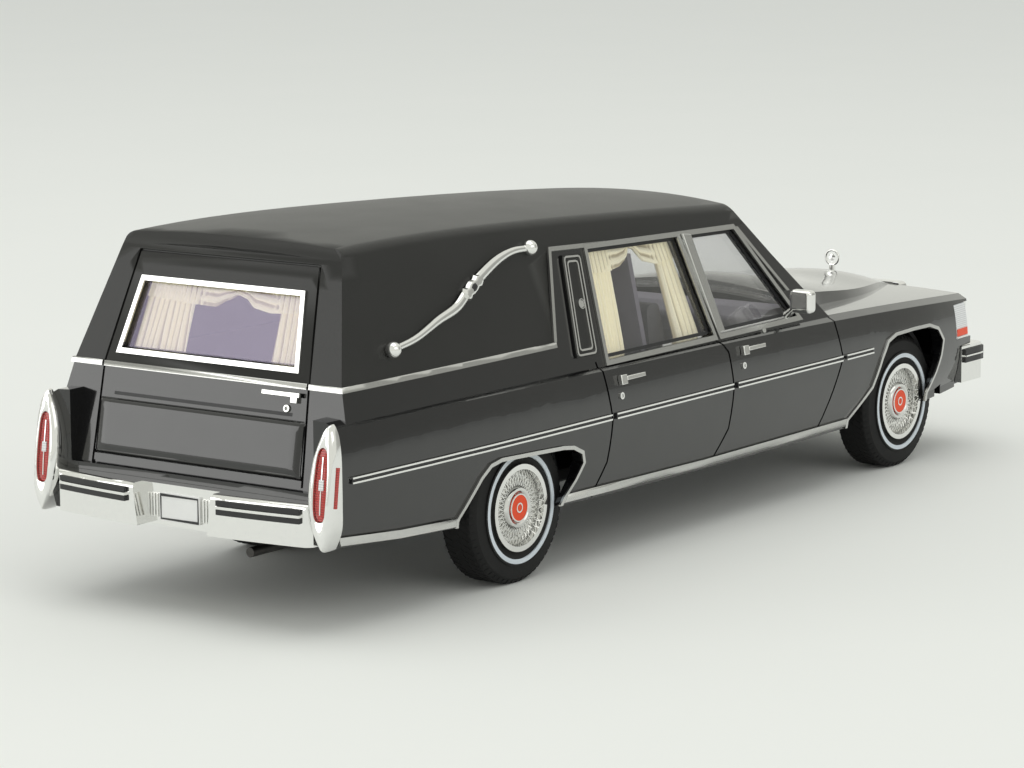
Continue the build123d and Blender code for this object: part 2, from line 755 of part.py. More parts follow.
seat_half_width = 16.0
seat_rear_x = -4.6
seat_depth = 16.0
seat_height = 5.4
seat_back_height = 15.5
seat_back_thickness = 3.6
seat_lean = 2.2
seat_round = 0.9
with BuildPart() as front_seat:
    with BuildSketch(Plane.XZ):
        with BuildLine():
            Polyline(
                (seat_rear_x + seat_lean, plate_top + floor_thickness),
                (seat_rear_x, plate_top + floor_thickness + seat_back_height),
                (seat_rear_x + seat_back_thickness * 0.7, plate_top + floor_thickness + seat_back_height),
                (seat_rear_x + seat_lean + seat_back_thickness, plate_top + floor_thickness + seat_height),
                (seat_rear_x + seat_depth, plate_top + floor_thickness + seat_height),
                (seat_rear_x + seat_depth - seat_lean / 2, plate_top + floor_thickness), close=True)
        make_face()
    extrude(amount=seat_half_width, both=True)
    fillet(front_seat.edges().filter_by(Axis.Y).sort_by(Axis.Z)[2:], seat_round)
front_seat.part.label = "front_seat"
export_step(front_seat.part, "parts/front_seat.step")

# Partition behind the seat, standing on the deck, with its sliding window cut
partition_top = 34.0
partition_low_half = 17.8
partition_top_half = 14.8
partition_thickness = 0.8
partition_frame = 2.2
partition_sill = 25.5
partition_x = along(deck_front_share) - partition_thickness
with BuildPart() as partition:
    add(end_prism(trapezium(partition_low_half, partition_top_half, deck_height, partition_top),
                  partition_x, partition_x + partition_thickness))
    add(end_prism(trapezium(partition_top_half - partition_frame, partition_top_half - 2 * partition_frame,
                            partition_sill, partition_top - partition_frame),
                  partition_x - overrun, partition_x + overrun), mode=Mode.SUBTRACT)
partition.part.label = "partition"
export_step(partition.part, "parts/partition.step")

dash_depth = 6.8
dash_height = 3.6
dash_half_width = 16.6
dash_round = 0.8
with BuildPart() as dashboard:
    with BuildSketch(Plane.XZ):
        with BuildLine():
            Polyline(
                (along(firewall_share), deck_height), (along(firewall_share) - dash_depth, deck_height),
                (along(firewall_share) - dash_depth - dash_round, deck_height + dash_height * 0.7),
                (along(firewall_share) - dash_depth * 0.7, deck_height + dash_height),
                (along(firewall_share), deck_height + dash_height), close=True)
        make_face()
    extrude(amount=dash_half_width, both=True)
    fillet(dashboard.edges().filter_by(Axis.Y).sort_by(Axis.X)[:3], dash_round)
dashboard.part.label = "dashboard"
export_step(dashboard.part, "parts/dashboard.step")

steering_y = 8.0
steering_radius = 4.2
steering_rim = 0.4
steering_hub = 1.1
steering_lean = 0.45
column_radius = 0.6
steering_x = along(firewall_share) - dash_depth - 4 * steering_hub
steering_z = deck_height + dash_height
steering_plane = Plane(origin=(steering_x, steering_y, steering_z), x_dir=(0, 1, 0), z_dir=(1, 0, -steering_lean))
with BuildPart() as steering_wheel:
    with BuildSketch(steering_plane):
        Circle(steering_radius)
        Circle(steering_radius - 2 * steering_rim, mode=Mode.SUBTRACT)
        Circle(steering_hub)
        with PolarLocations((steering_radius - steering_rim) / 2, 3, start_angle=90):
            Rectangle(steering_radius - steering_rim, 2 * steering_rim)
    extrude(amount=2 * steering_rim)
    with BuildSketch(steering_plane):
        Circle(column_radius)
    extrude(amount=dash_depth)
    add(dashboard.part, mode=Mode.SUBTRACT)
    add(steering_wheel.part.solids().sort_by(Axis.X)[0], mode=Mode.INTERSECT)
steering_wheel.part.label = "steering_wheel"
export_step(steering_wheel.part, "parts/steering_wheel.step")

# Curtains: closed panels that hang just inside the glass
curtain_gap = 0.1
curtain_thickness = 0.7
curtain_margin = 0.5
with BuildPart() as side_curtains:
    add(upper_skin(-wall - curtain_gap) - upper_skin(-wall - curtain_gap - curtain_thickness))
    add(side_prism(grown(rear_pane, curtain_margin)), mode=Mode.INTERSECT)
side_curtains.part.label = "side_curtains"
export_step(side_curtains.part, "parts/side_curtains.step")

with BuildPart() as rear_curtain:
    add(tail_slab(-wall - curtain_gap, -wall - curtain_gap - curtain_thickness))
    add(tail_prism(grown(rear_glass_outline, curtain_margin)), mode=Mode.INTERSECT)
rear_curtain.part.label = "rear_curtain"
export_step(rear_curtain.part, "parts/rear_curtain.step")

# Landau bars: an S-shaped rod on each side, between two ball bosses, with a barrel joint
landau_low_share = -0.775
landau_top_share = -0.388
landau_low_z = 29.1
landau_rise = 8.2
landau_rod = 0.42
landau_boss = 0.85
landau_boss_round = 0.65
landau_boss_share = 0.9
landau_pin = 0.5
landau_barrel = 0.8
landau_barrel_length = 2.6
landau_standoff = 0.95
landau_bend = 9.0
side_lean = 0.28
side_lean_height = 26.35
side_lean_y = 19.4
# Columns: share of the bar's length, share of its rise
landau_shares = [(0, 0), (0.25, 0.07), (0.53, 0.51), (0.76, 0.95), (1.0, 1.0)]
landau_length = along(landau_top_share - landau_low_share)
landau_low_y = side_lean_y - side_lean * (landau_low_z - side_lean_height)
landau_plane = Plane(origin=(along(landau_low_share), landau_low_y, landau_low_z),
                     x_dir=(1, 0, 0), z_dir=(0, 1, side_lean)).offset(landau_standoff)


def turned_boss(plane):
    """Round button at one end of a landau bar, on its own plane."""
    with BuildPart() as boss:
        with BuildSketch(plane.offset(-landau_boss_round)):
            Circle(landau_boss)
        extrude(amount=2 * landau_boss_round)
        fillet(boss.edges(), landau_boss_round * landau_boss_share)
    return boss.part


with BuildPart() as landau_bars:
    with BuildLine(landau_plane) as landau_curve:
        FilletPolyline(*[(run * landau_length, -rise * landau_rise * sqrt(1 + side_lean ** 2))
                         for run, rise in landau_shares], radius=landau_bend)
    with BuildSketch(Plane(origin=landau_curve.line @ 0, z_dir=landau_curve.line % 0)):
        Circle(landau_rod)
    sweep(path=landau_curve.line)
    for place in (0, 1):
        boss_plane = Plane(origin=landau_curve.line @ place, z_dir=-landau_plane.z_dir)
        add(turned_boss(boss_plane))
        with BuildSketch(boss_plane):
            Circle(landau_pin)
        extrude(amount=landau_standoff - trim_seat)
    barrel_plane = Plane(origin=landau_curve.line @ 0.5, z_dir=landau_curve.line % 0.5)
    with BuildSketch(barrel_plane.offset(-landau_barrel_length / 2)):
        Circle(landau_barrel)
    extrude(amount=landau_barrel_length)
    mirror(about=Plane.XZ)
landau_bars.part.label = "landau_bars"
export_step(landau_bars.part, "parts/landau_bars.step")

# Door pulls with their locks, and the rear door's pull
pull_length = 5.0
pull_height = 0.95
pull_proud = 0.65
pull_lift_share = 0.512
lock_radius = 0.35
lock_drop = 1.8
pull_rear_shares = (-0.258, 0.105)
rear_pull_y = 11.4
rear_pull_z = 25.2
with BuildPart() as door_handles:
    for share in pull_rear_shares:
        pull_z = pull_lift_share * roof_height
        with BuildSketch(Plane.XZ):
            with Locations((along(share) + pull_length / 2, pull_z)):
                SlotOverall(pull_length, pull_height)
            with Locations((along(share) + lock_radius, pull_z - lock_drop)):
                Circle(lock_radius)
    extrude(amount=body_half_width + overrun, both=True)
    add(lower_skin(pull_proud), mode=Mode.INTERSECT)
    add(lower_skin(trim_seat), mode=Mode.SUBTRACT)
door_handles.part.label = "door_handles"
export_step(door_handles.part, "parts/door_handles.step")

with BuildPart() as rear_handle:
    with BuildSketch(Plane.YZ.offset(-half_length)):
        with Locations((-rear_pull_y, rear_pull_z)):
            SlotOverall(pull_length, pull_height)
        with Locations((-rear_pull_y, rear_pull_z - lock_drop)):
            Circle(lock_radius)
    extrude(amount=overrun)
    add(tail_slab(pull_proud, trim_seat), mode=Mode.INTERSECT)
rear_handle.part.label = "rear_handle"
export_step(rear_handle.part, "parts/rear_handle.step")

# Mirrors on short stalks at the front of the doors
mirror_share = 0.262
mirror_y = 23.4
mirror_z = 25.9
mirror_depth = 1.7
mirror_width = 3.2
mirror_height = 2.9
mirror_round = 0.6
stalk_radius = 0.45
stalk_foot_z = 23.6
with BuildPart() as mirrors:
    with Locations((along(mirror_share), mirror_y, mirror_z)):
        Box(mirror_depth, mirror_width, mirror_height)
    fillet(mirrors.edges(), mirror_round)
    stalk_foot = (along(mirror_share) + mirror_depth / 2, mirror_y - mirror_width, stalk_foot_z)
    stalk_top = (along(mirror_share), mirror_y, mirror_z)
    stalk_way = Vector(*stalk_top) - Vector(*stalk_foot)
    with BuildSketch(Plane(origin=stalk_foot, z_dir=stalk_way)):
        Circle(stalk_radius)
    extrude(amount=stalk_way.length)
    add(upper_skin(trim_proud + trim_seat) + lower_skin(trim_seat), mode=Mode.SUBTRACT)
    mirror(about=Plane.XZ)
mirrors.part.label = "mirrors"
export_step(mirrors.part, "parts/mirrors.step")

# Bumpers: curved in plan, with rub strips on their upper halves
strip_proud = 0.35
strip_low_share = 0.62
strip_high_share = 0.90
strip_inner_y = 6.4
strip_outer_y = 17.2
front_corner_x = 70.6
front_corner_y = 19.8
front_bumper_half = 21.2
bumper_round = 0.6
rear_corner_x = -71.0
rear_bumper_top = 14.6
rear_bumper_low = 10.0
rear_bumper_half = 18.2
rear_bumper_front_x = -69.25
plate_recess_half = 5.8
plate_recess_low_half = 4.8
plate_recess_depth = 1.4


def bumper_bar(tip_x, corner_x, corner_y, side_x, end_x, end_y, low, high):
    """Bar with a curved face, cut corners and straight sides back to its ends."""
    with BuildPart() as bar:
        with BuildSketch(Plane.XY.offset(low)):
            with BuildLine():
                ThreePointArc((corner_x, -corner_y), (tip_x, 0), (corner_x, corner_y))
                Polyline((corner_x, corner_y), (side_x, end_y), (end_x, end_y),
                         (end_x, -end_y), (side_x, -end_y), (corner_x, -corner_y))
            make_face()
        extrude(amount=high - low)
    return bar.part


def front_bar(grow, low, high):
    """Front bumper's outline, its face pushed forwards by an amount."""
    return bumper_bar(half_length - strip_proud + grow, front_corner_x + grow, front_corner_y,
                      front_corner_x - bumper_wall, bumper_end_x, front_bumper_half, low, high)


def rear_bar(grow, low, high):
    """Rear bumper's outline, its face pushed backwards by an amount."""
    return bumper_bar(strip_proud - half_length - grow, rear_corner_x - grow, rear_bumper_half - bumper_round,
                      rear_corner_x + bumper_round, rear_bumper_front_x, rear_bumper_half, low, high)


with BuildPart() as front_bumper:
    add(front_bar(0, bumper_low, bumper_top))
    fillet(front_bumper.edges().group_by(Axis.Z)[-1].filter_by(GeomType.CIRCLE), bumper_round)
    add(block((0, -bumper_bed_half - bumper_gap, 0),
              (nose_x + bumper_gap, bumper_bed_half + bumper_gap, roof_height)), mode=Mode.SUBTRACT)
front_bumper.part.label = "front_bumper"
export_step(front_bumper.part, "parts/front_bumper.step")

plate_recess = end_prism(
    trapezium(plate_recess_low_half, plate_recess_half, rear_bumper_low - wall, rear_bumper_top + wall),
    -half_length - overrun, rear_bumper_front_x - plate_recess_depth)
with BuildPart() as rear_bumper:
    add(rear_bar(0, rear_bumper_low, rear_bumper_top))
    fillet(rear_bumper.edges().group_by(Axis.Z)[-1].filter_by(GeomType.CIRCLE), bumper_round)
    add(plate_recess, mode=Mode.SUBTRACT)
rear_bumper.part.label = "rear_bumper"
export_step(rear_bumper.part, "parts/rear_bumper.step")


def strip_band(low, high):
    """Heights of a rub strip on a bumper between two heights."""
    return low + strip_low_share * (high - low), low + strip_high_share * (high - low) - bumper_round / 2


with BuildPart() as bumper_strips:
    band = strip_band(bumper_low, bumper_top)
    add(front_bar(strip_proud, *band) - front_bar(0, *band))
    band = strip_band(rear_bumper_low, rear_bumper_top)
    add((rear_bar(strip_proud, *band) - rear_bar(0, *band)) & both_sides(
        block((-half_length, strip_inner_y, 0), (rear_corner_x + wall, strip_outer_y, roof_height))))
    add(block((bumper_end_x, -body_half_width, 0), (front_corner_x - wall, body_half_width, roof_height)),
        mode=Mode.SUBTRACT)
bumper_strips.part.label = "bumper_strips"
export_step(bumper_strips.part, "parts/bumper_strips.step")

# Licence plate, blank, in its recess
licence_half_width = 2.9
licence_height = 3.1
licence_low = 10.6
licence_thickness = 0.3
licence_x = rear_bumper_front_x - plate_recess_depth
with BuildPart() as licence_plate:
    with BuildSketch(Plane.YZ.offset(licence_x)):
        with Locations((0, licence_low + licence_height / 2)):
            RectangleRounded(2 * licence_half_width, licence_height, licence_thickness)
    extrude(amount=-licence_thickness)
licence_plate.part.label = "licence_plate"
export_step(licence_plate.part, "parts/licence_plate.step")

# Tail lamps: tall pointed bezels that cap the fins, with lenses set in
bezel_front_x = -69.2
bezel_inner_y = 18.3
bezel_outer_y = 21.25
bezel_top = 23.1
bezel_low = 10.0
bezel_top_x = -70.2
bezel_low_x = -71.8
bezel_point = 1.1
lens_low = 13.1
lens_high = 20.6
lens_inner_y = 18.95
lens_outer_y = 20.65
lens_depth = 0.8
marker_rear_x = -70.5
marker_front_x = -69.9
marker_low = 14.4
marker_high = 18.8
marker_depth = 0.5
lens_clearance = 0.05

bezel_side = side_prism([
    (bezel_front_x, bezel_top - bezel_point), (bezel_top_x, bezel_top), (bezel_top_x - bezel_point, bezel_top - bezel_point),
    (bezel_low_x, bezel_low + 2 * bezel_point), (bezel_low_x, bezel_low), (bezel_low_x + bezel_point, bezel_low),
    (bezel_front_x, bezel_low + 2 * bezel_point)])
bezel_end = [
    (bezel_inner_y, bezel_low + bezel_point), (bezel_inner_y, bezel_top - bezel_point),
    (bezel_outer_y - bezel_point, bezel_top), (bezel_outer_y, bezel_top - 2 * bezel_point),
    (bezel_outer_y, bezel_low + 2 * bezel_point), (bezel_outer_y - bezel_point, bezel_low)]


def tail_block(inner_y, outer_y, low, high, rear_x, front_x):
    """A block of the left tail lamp."""
    return block((rear_x, inner_y, low), (front_x, outer_y, high))


def lens_blocks(gap):
    """Rear lens and side marker of the left lamp, smaller by a gap all round."""
    rear = tail_block(lens_inner_y + gap, lens_outer_y - gap, lens_low + gap, lens_high - gap,
                      -half_length - overrun, bezel_low_x + lens_depth + bezel_point - gap)
    side = tail_block(bezel_outer_y - marker_depth + gap, body_half_width + overrun, marker_low + gap,
                      marker_high - gap, marker_rear_x + gap, marker_front_x - gap)
    return rear + side


with BuildPart() as tail_lamp_bezels:
    add(bezel_side & end_prism(bezel_end, -half_length - overrun, 0))
    add(lens_blocks(0), mode=Mode.SUBTRACT)
    mirror(about=Plane.XZ)
tail_lamp_bezels.part.label = "tail_lamp_bezels"
export_step(tail_lamp_bezels.part, "parts/tail_lamp_bezels.step")

with BuildPart() as tail_lamp_lenses:
    add(bezel_side & end_prism(bezel_end, -half_length - overrun, 0))
    add(lens_blocks(lens_clearance), mode=Mode.INTERSECT)
    mirror(about=Plane.XZ)
tail_lamp_lenses.part.label = "tail_lamp_lenses"
export_step(tail_lamp_lenses.part, "parts/tail_lamp_lenses.step")

# Front end: upright grille, four headlamps and the ornament on the hood
grille_half_width = 9.4
grille_low = 14.5
grille_top = 21.6
grille_front_x = 69.2
grille_shell = 0.7
grille_round = 0.7
grille_bar = 0.28
grille_bar_depth = 0.9
grille_uprights = 15
grille_rows = 7
grille_rear_x = along(hood_section_shares[-1][0]) + bumper_gap
with BuildPart() as grille:
    add(block((grille_rear_x, -grille_half_width, grille_low), (grille_front_x, grille_half_width, grille_top)))
    fillet(grille.edges().filter_by(Axis.X).group_by(Axis.Z)[-1], grille_round)
    add(block((nose_x, -grille_half_width + grille_shell, grille_low + grille_shell),
              (grille_front_x + overrun, grille_half_width - grille_shell, grille_top - grille_shell)),
        mode=Mode.SUBTRACT)
    opening_width = 2 * (grille_half_width - grille_shell)
    opening_height = grille_top - grille_low - 2 * grille_shell
    with BuildSketch(Plane.YZ.offset(grille_front_x - 2 * grille_bar)):
        with Locations((0, (grille_low + grille_top) / 2)):
            with GridLocations(opening_width / (grille_uprights + 1), 0, grille_uprights, 1):
                Rectangle(grille_bar, opening_height + grille_bar)
            with GridLocations(0, opening_height / (grille_rows + 1), 1, grille_rows):
                Rectangle(opening_width + grille_bar, grille_bar)
    extrude(amount=-grille_bar_depth)
grille.part.label = "grille"
export_step(grille.part, "parts/grille.step")

headlamp_inner_y = 10.2
headlamp_outer_y = 19.3
headlamp_low = 15.2
headlamp_top = 19.9
headlamp_depth = 0.9
headlamp_rim = 0.4
with BuildPart() as headlamp_bezels:
    lamp_pitch = (headlamp_outer_y - headlamp_inner_y) / 2
    add(block((nose_x + bumper_gap, headlamp_inner_y, headlamp_low),
              (nose_x + bumper_gap + headlamp_depth, headlamp_outer_y, headlamp_top)))
    for number in range(2):
        add(block((nose_x, headlamp_inner_y + number * lamp_pitch + headlamp_rim, headlamp_low + headlamp_rim),
                  (nose_x + overrun, headlamp_inner_y + (number + 1) * lamp_pitch - headlamp_rim,
                   headlamp_top - headlamp_rim)), mode=Mode.SUBTRACT)
    mirror(about=Plane.XZ)
headlamp_bezels.part.label = "headlamp_bezels"
export_step(headlamp_bezels.part, "parts/headlamp_bezels.step")

with BuildPart() as headlamp_lenses:
    for number in range(2):
        add(block((nose_x + bumper_gap, headlamp_inner_y + number * lamp_pitch + headlamp_rim + lens_clearance,
                   headlamp_low + headlamp_rim + lens_clearance),
                  (nose_x + bumper_gap + headlamp_depth * 0.7,
                   headlamp_inner_y + (number + 1) * lamp_pitch - headlamp_rim - lens_clearance,
                   headlamp_top - headlamp_rim - lens_clearance)))
    mirror(about=Plane.XZ)
headlamp_lenses.part.label = "headlamp_lenses"
export_step(headlamp_lenses.part, "parts/headlamp_lenses.step")

# Wraparound side lamps in the front corners
with BuildPart() as side_lamps:
    add(lower_skin(trim_seat) - lower_skin(-side_lamp_depth))
    add(both_sides(block((side_lamp_rear + lens_clearance, 0, side_lamp_low + lens_clearance),
                         (nose_x - side_lamp_depth, body_half_width + overrun, side_lamp_top - lens_clearance))),
        mode=Mode.INTERSECT)
side_lamps.part.label = "side_lamps"
export_step(side_lamps.part, "parts/side_lamps.step")

# Hood ornament: a ring on a small foot
ornament_x = 65.0
ornament_z = 24.7
ornament_radius = 1.0
ornament_wire = 0.16
ornament_foot_radius = 0.45
with BuildPart() as hood_ornament:
    with Locations(Location((ornament_x, 0, ornament_z), (0, 90, 0))):
        Torus(ornament_radius, ornament_wire)
    with BuildSketch(Plane.XY.offset(ornament_z - ornament_radius)):
        with Locations((ornament_x, 0)):
            Circle(ornament_foot_radius)
    extrude(amount=-hood_buried / 2)
    add(hood_skin(trim_seat), mode=Mode.SUBTRACT)
hood_ornament.part.label = "hood_ornament"
export_step(hood_ornament.part, "parts/hood_ornament.step")

# Wheels: five turned pieces on each end of an axle
whitewall_inner = 5.85
whitewall_outer = 6.6
whitewall_proud = 0.15
rim_radius = 5.0
rim_lip = 0.6
rim_outer_y = 20.2
rim_floor_y = 18.9
rim_back_y = 17.6
rib_inner = 2.5
rib_outer = 4.3
rib_width = 0.22
rib_proud = 0.75
rib_count = 28
cover_hub = 2.1
cover_hub_y = 20.0
centre_radius = 1.65
centre_depth = 0.3
tread_round = 0.7
bead_inset = 0.35


def turned(points, axle_x):
    """Ring turned round an axle from a table of distances out and radii, on both ends."""
    with BuildPart() as ring:
        with BuildSketch(Plane(origin=(axle_x, 0, axle_z), x_dir=(0, 1, 0), z_dir=(-1, 0, 0))):
            with BuildLine():
                Polyline(*points, close=True)
            make_face()
        revolve(axis=Axis((axle_x, 0, axle_z), (0, 1, 0)))
    return both_sides(ring.part)


tyre_profile = [
    (tyre_inner_y + bead_inset, rim_radius), (tyre_inner_y, whitewall_outer),
    (tyre_inner_y + bead_inset, tyre_radius - tread_round), (tyre_inner_y + tread_round, tyre_radius),
    (tyre_outer_y - tread_round, tyre_radius), (tyre_outer_y - bead_inset / 2, tyre_radius - tread_round),
    (tyre_outer_y, whitewall_outer + whitewall_proud), (tyre_outer_y, whitewall_inner - whitewall_proud),
    (tyre_outer_y - bead_inset, rim_radius)]
whitewall_profile = [
    (tyre_outer_y, whitewall_inner), (tyre_outer_y + whitewall_proud, whitewall_inner),
    (tyre_outer_y + whitewall_proud, whitewall_outer), (tyre_outer_y, whitewall_outer)]
rim_profile = [
    (tyre_inner_y + bead_inset, rim_radius), (rim_outer_y, rim_radius), (rim_outer_y, rim_radius - rim_lip),
    (rim_floor_y, rim_radius - rim_lip), (rim_floor_y, axle_radius), (rim_back_y, axle_radius),
    (rim_back_y, rim_radius - rim_lip), (tyre_inner_y + bead_inset, rim_radius - rim_lip)]
cover_profile = [
    (rim_floor_y, 0), (rim_floor_y, cover_hub), (cover_hub_y, cover_hub), (cover_hub_y, centre_radius),
    (cover_hub_y - centre_depth, centre_radius), (cover_hub_y - centre_depth, 0)]
centre_profile = [
    (cover_hub_y - centre_depth, 0), (cover_hub_y - centre_depth, centre_radius - lens_clearance),
    (cover_hub_y - centre_depth / 4, centre_radius - lens_clearance), (cover_hub_y - centre_depth / 4, 0)]

for end, axle_x in (("front", front_axle_x), ("rear", rear_axle_x)):
    with BuildPart() as axle:
        with Locations(Location((axle_x, 0, axle_z), (90, 0, 0))):
            Cylinder(axle_radius, 2 * rim_floor_y)
    axle.part.label = f"{end}_axle"
    export_step(axle.part, f"parts/{end}_axle.step")

    for name, profile in (("tyres", tyre_profile), ("whitewalls", whitewall_profile),
                          ("rims", rim_profile), ("hub_centres", centre_profile)):
        with BuildPart() as piece:
            add(turned(profile, axle_x))
        piece.part.label = f"{end}_{name}"
        export_step(piece.part, f"parts/{end}_{name}.step")

    with BuildPart() as wheel_covers:
        add(turned(cover_profile, axle_x))
        for side in (-1, 1):
            face = Plane(origin=(axle_x, side * rim_floor_y, axle_z), x_dir=(1, 0, 0), z_dir=(0, side, 0))
            with BuildSketch(face):
                with PolarLocations((cover_hub + rib_outer) / 2, rib_count):
                    Rectangle(rib_outer - cover_hub, rib_width)
            extrude(amount=rib_proud)
    wheel_covers.part.label = f"{end}_wheel_covers"
    export_step(wheel_covers.part, f"parts/{end}_wheel_covers.step")
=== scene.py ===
# %% [markdown]
# # A model hearse, finished and lit
#
# The model is a glossy black saloon-based hearse at 1:43, with a matte coach
# roof, bright trims and pleated curtains. Its solids come from the CAD part and
# are loaded first, because every piece that is made here is placed from them.

# %% Load the frame
import json
import math

import bmesh
import bpy
from mathutils import Matrix, Vector


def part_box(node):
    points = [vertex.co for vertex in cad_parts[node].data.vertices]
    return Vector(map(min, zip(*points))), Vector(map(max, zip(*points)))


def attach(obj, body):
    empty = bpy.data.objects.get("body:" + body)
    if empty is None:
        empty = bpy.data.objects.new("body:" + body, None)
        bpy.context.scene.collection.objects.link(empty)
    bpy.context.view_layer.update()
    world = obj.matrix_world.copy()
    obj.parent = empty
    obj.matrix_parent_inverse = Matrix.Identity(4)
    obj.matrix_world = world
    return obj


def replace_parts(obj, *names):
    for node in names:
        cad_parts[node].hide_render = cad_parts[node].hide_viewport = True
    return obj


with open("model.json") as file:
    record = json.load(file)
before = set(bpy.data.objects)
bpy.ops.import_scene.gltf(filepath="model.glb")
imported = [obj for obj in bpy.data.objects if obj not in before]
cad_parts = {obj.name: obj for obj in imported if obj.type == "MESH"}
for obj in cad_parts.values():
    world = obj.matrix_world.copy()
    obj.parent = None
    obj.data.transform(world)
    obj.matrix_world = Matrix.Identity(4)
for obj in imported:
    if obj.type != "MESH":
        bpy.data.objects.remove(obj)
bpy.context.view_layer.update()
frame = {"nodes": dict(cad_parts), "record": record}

mm = 0.001
nodes = frame["nodes"]

# %% [markdown]
# ## The camera
#
# The photograph was taken from behind the car's right rear corner, a little
# above its roof, with a long lens from close by. The camera is set by its place
# and by the way that it looks, because both were measured in the model's frame.

# %% Camera
camera_place = Vector((-351.81, -250.31, 88.38)) * mm
camera_aim = Vector((0.7957, 0.5827, -0.1653))
camera_roll = math.radians(-0.36)
camera_lens = 124.26

camera = bpy.data.objects.new("camera", bpy.data.cameras.new("camera"))
camera.data.lens = camera_lens
camera.data.sensor_width = 36.0
camera.data.clip_start = 0.01
camera.location = camera_place
camera.rotation_mode = "QUATERNION"
camera.rotation_quaternion = (camera_aim.to_track_quat("-Z", "Y")
                              @ Matrix.Rotation(camera_roll, 3, "Z").to_quaternion())
bpy.context.collection.objects.link(camera)
bpy.context.scene.camera = camera
print("camera:", round(camera_place.length, 3), "m from the origin")

# %% [markdown]
# ## Node maths in Python
#
# Every finish is a small recipe of nodes, and two classes keep the recipes
# readable. The first wraps a socket, so that node maths is written with
# ordinary operators and not by adding each Math node by hand.

# %% Wires
class Wire:
    """A socket's output that can be used in Python expressions."""

    def __init__(self, finish, socket):
        self.finish = finish
        self.socket = socket

    def math(self, operation, *values):
        return self.finish.math_of(operation, *values)

    def __add__(self, other):
        return self.math("ADD", self, other)

    def __radd__(self, other):
        return self.math("ADD", other, self)

    def __sub__(self, other):
        return self.math("SUBTRACT", self, other)

    def __rsub__(self, other):
        return self.math("SUBTRACT", other, self)

    def __mul__(self, other):
        return self.math("MULTIPLY", self, other)

    def __rmul__(self, other):
        return self.math("MULTIPLY", other, self)


print("wires add, subtract and multiply")

# %% [markdown]
# ## Mixing a material
#
# The second class is the material being mixed. A single method adds any kind of
# node, and the others are the few steps that nearly every recipe shares: noise
# in the model's millimetres, a tint, a bump and the surface itself.

# %% Finishes as recipes
class Finish:
    """A material, or the world, that is being mixed."""

    def __init__(self, name, store=bpy.data.materials):
        self.material = store.new(name)
        self.material.use_nodes = True
        self.tree = self.material.node_tree
        self.tree.nodes.clear()

    def feed(self, socket, value):
        """Links a wire to a socket, or sets the socket's own value."""
        if isinstance(value, Wire):
            self.tree.links.new(value.socket, socket)
        elif isinstance(value, (tuple, list)) and len(value) == 3 and len(socket.default_value) == 4:
            socket.default_value = (*value, 1.0)
        else:
            socket.default_value = value

    def add(self, kind, settings=None, inputs=None, output=0):
        """Adds one node: its settings first, then its sockets. Returns one output."""
        node = self.tree.nodes.new(kind)
        for key, value in (settings or {}).items():
            setattr(node, key, value)
        for key, value in (inputs or {}).items():
            self.feed(node.inputs[key], value)
        return None if output is None else Wire(self, node.outputs[output])

    def places(self):
        """The piece's own coordinates in millimetres."""
        own = self.add("ShaderNodeTexCoord", output="Object")
        return self.add("ShaderNodeVectorMath", {"operation": "MULTIPLY"}, {0: own, 1: (1 / mm,) * 3})

    def noise(self, scale, detail=3.0):
        """Even noise, with its scale given in features per millimetre."""
        return self.add("ShaderNodeTexNoise", inputs={
            "Vector": self.places(), "Scale": scale, "Detail": detail, "Roughness": 0.55})

    def between(self, factor, low, high):
        """A number that goes from low to high as a factor goes from 0 to 1."""
        return factor * (high - low) + low

    def tint(self, factor, first, second):
        """A colour between two colours."""
        return self.add("ShaderNodeMix", {"data_type": "RGBA"}, {0: factor, 6: first, 7: second}, output=2)

    def bump(self, height, strength, depth):
        """A bumped normal, with the depth of the relief in millimetres."""
        return self.add("ShaderNodeBump", inputs={
            "Height": height, "Strength": strength, "Distance": depth * mm})

    def surface(self, **sockets):
        """Ends the recipe with a Principled surface, its sockets by name."""
        inputs = {key.replace("_", " ").title().replace("Ior", "IOR"): value
                  for key, value in sockets.items()}
        self.end(self.add("ShaderNodeBsdfPrincipled", inputs=inputs))
        return self.material

    def end(self, shader):
        """Sends a shader to the material's surface."""
        self.add("ShaderNodeOutputMaterial", inputs={"Surface": shader}, output=None)

    def math_of(self, operation, *values):
        """One Math node, for operations that have no operator."""
        return self.add("ShaderNodeMath", {"operation": operation}, dict(enumerate(values)))


print("recipes: ready")

# %% [markdown]
# ## The studio's world
#
# A black model shows only what it reflects, so the studio is a pale room with
# a pale world behind it. One dark flag stands where the coach's side looks, as
# a photographer puts one up to make black look black. It is a soft patch of
# the world that only reflections show. The camera, reflections and glass see
# the background's own colour, and a cooler glow lights the car.

# %% World
scene = bpy.context.scene
scene.view_settings.view_transform = "Standard"

background = (0.800, 0.808, 0.745)
glow_colour = (0.86, 0.88, 0.90)
glow_level = 0.82
flag_way = (0.80, -0.58, 0.17)
flag_darkness = 0.50
# How near a reflection has to point to the flag: its outer and its inner edge
flag_edges = (0.90, 0.985)

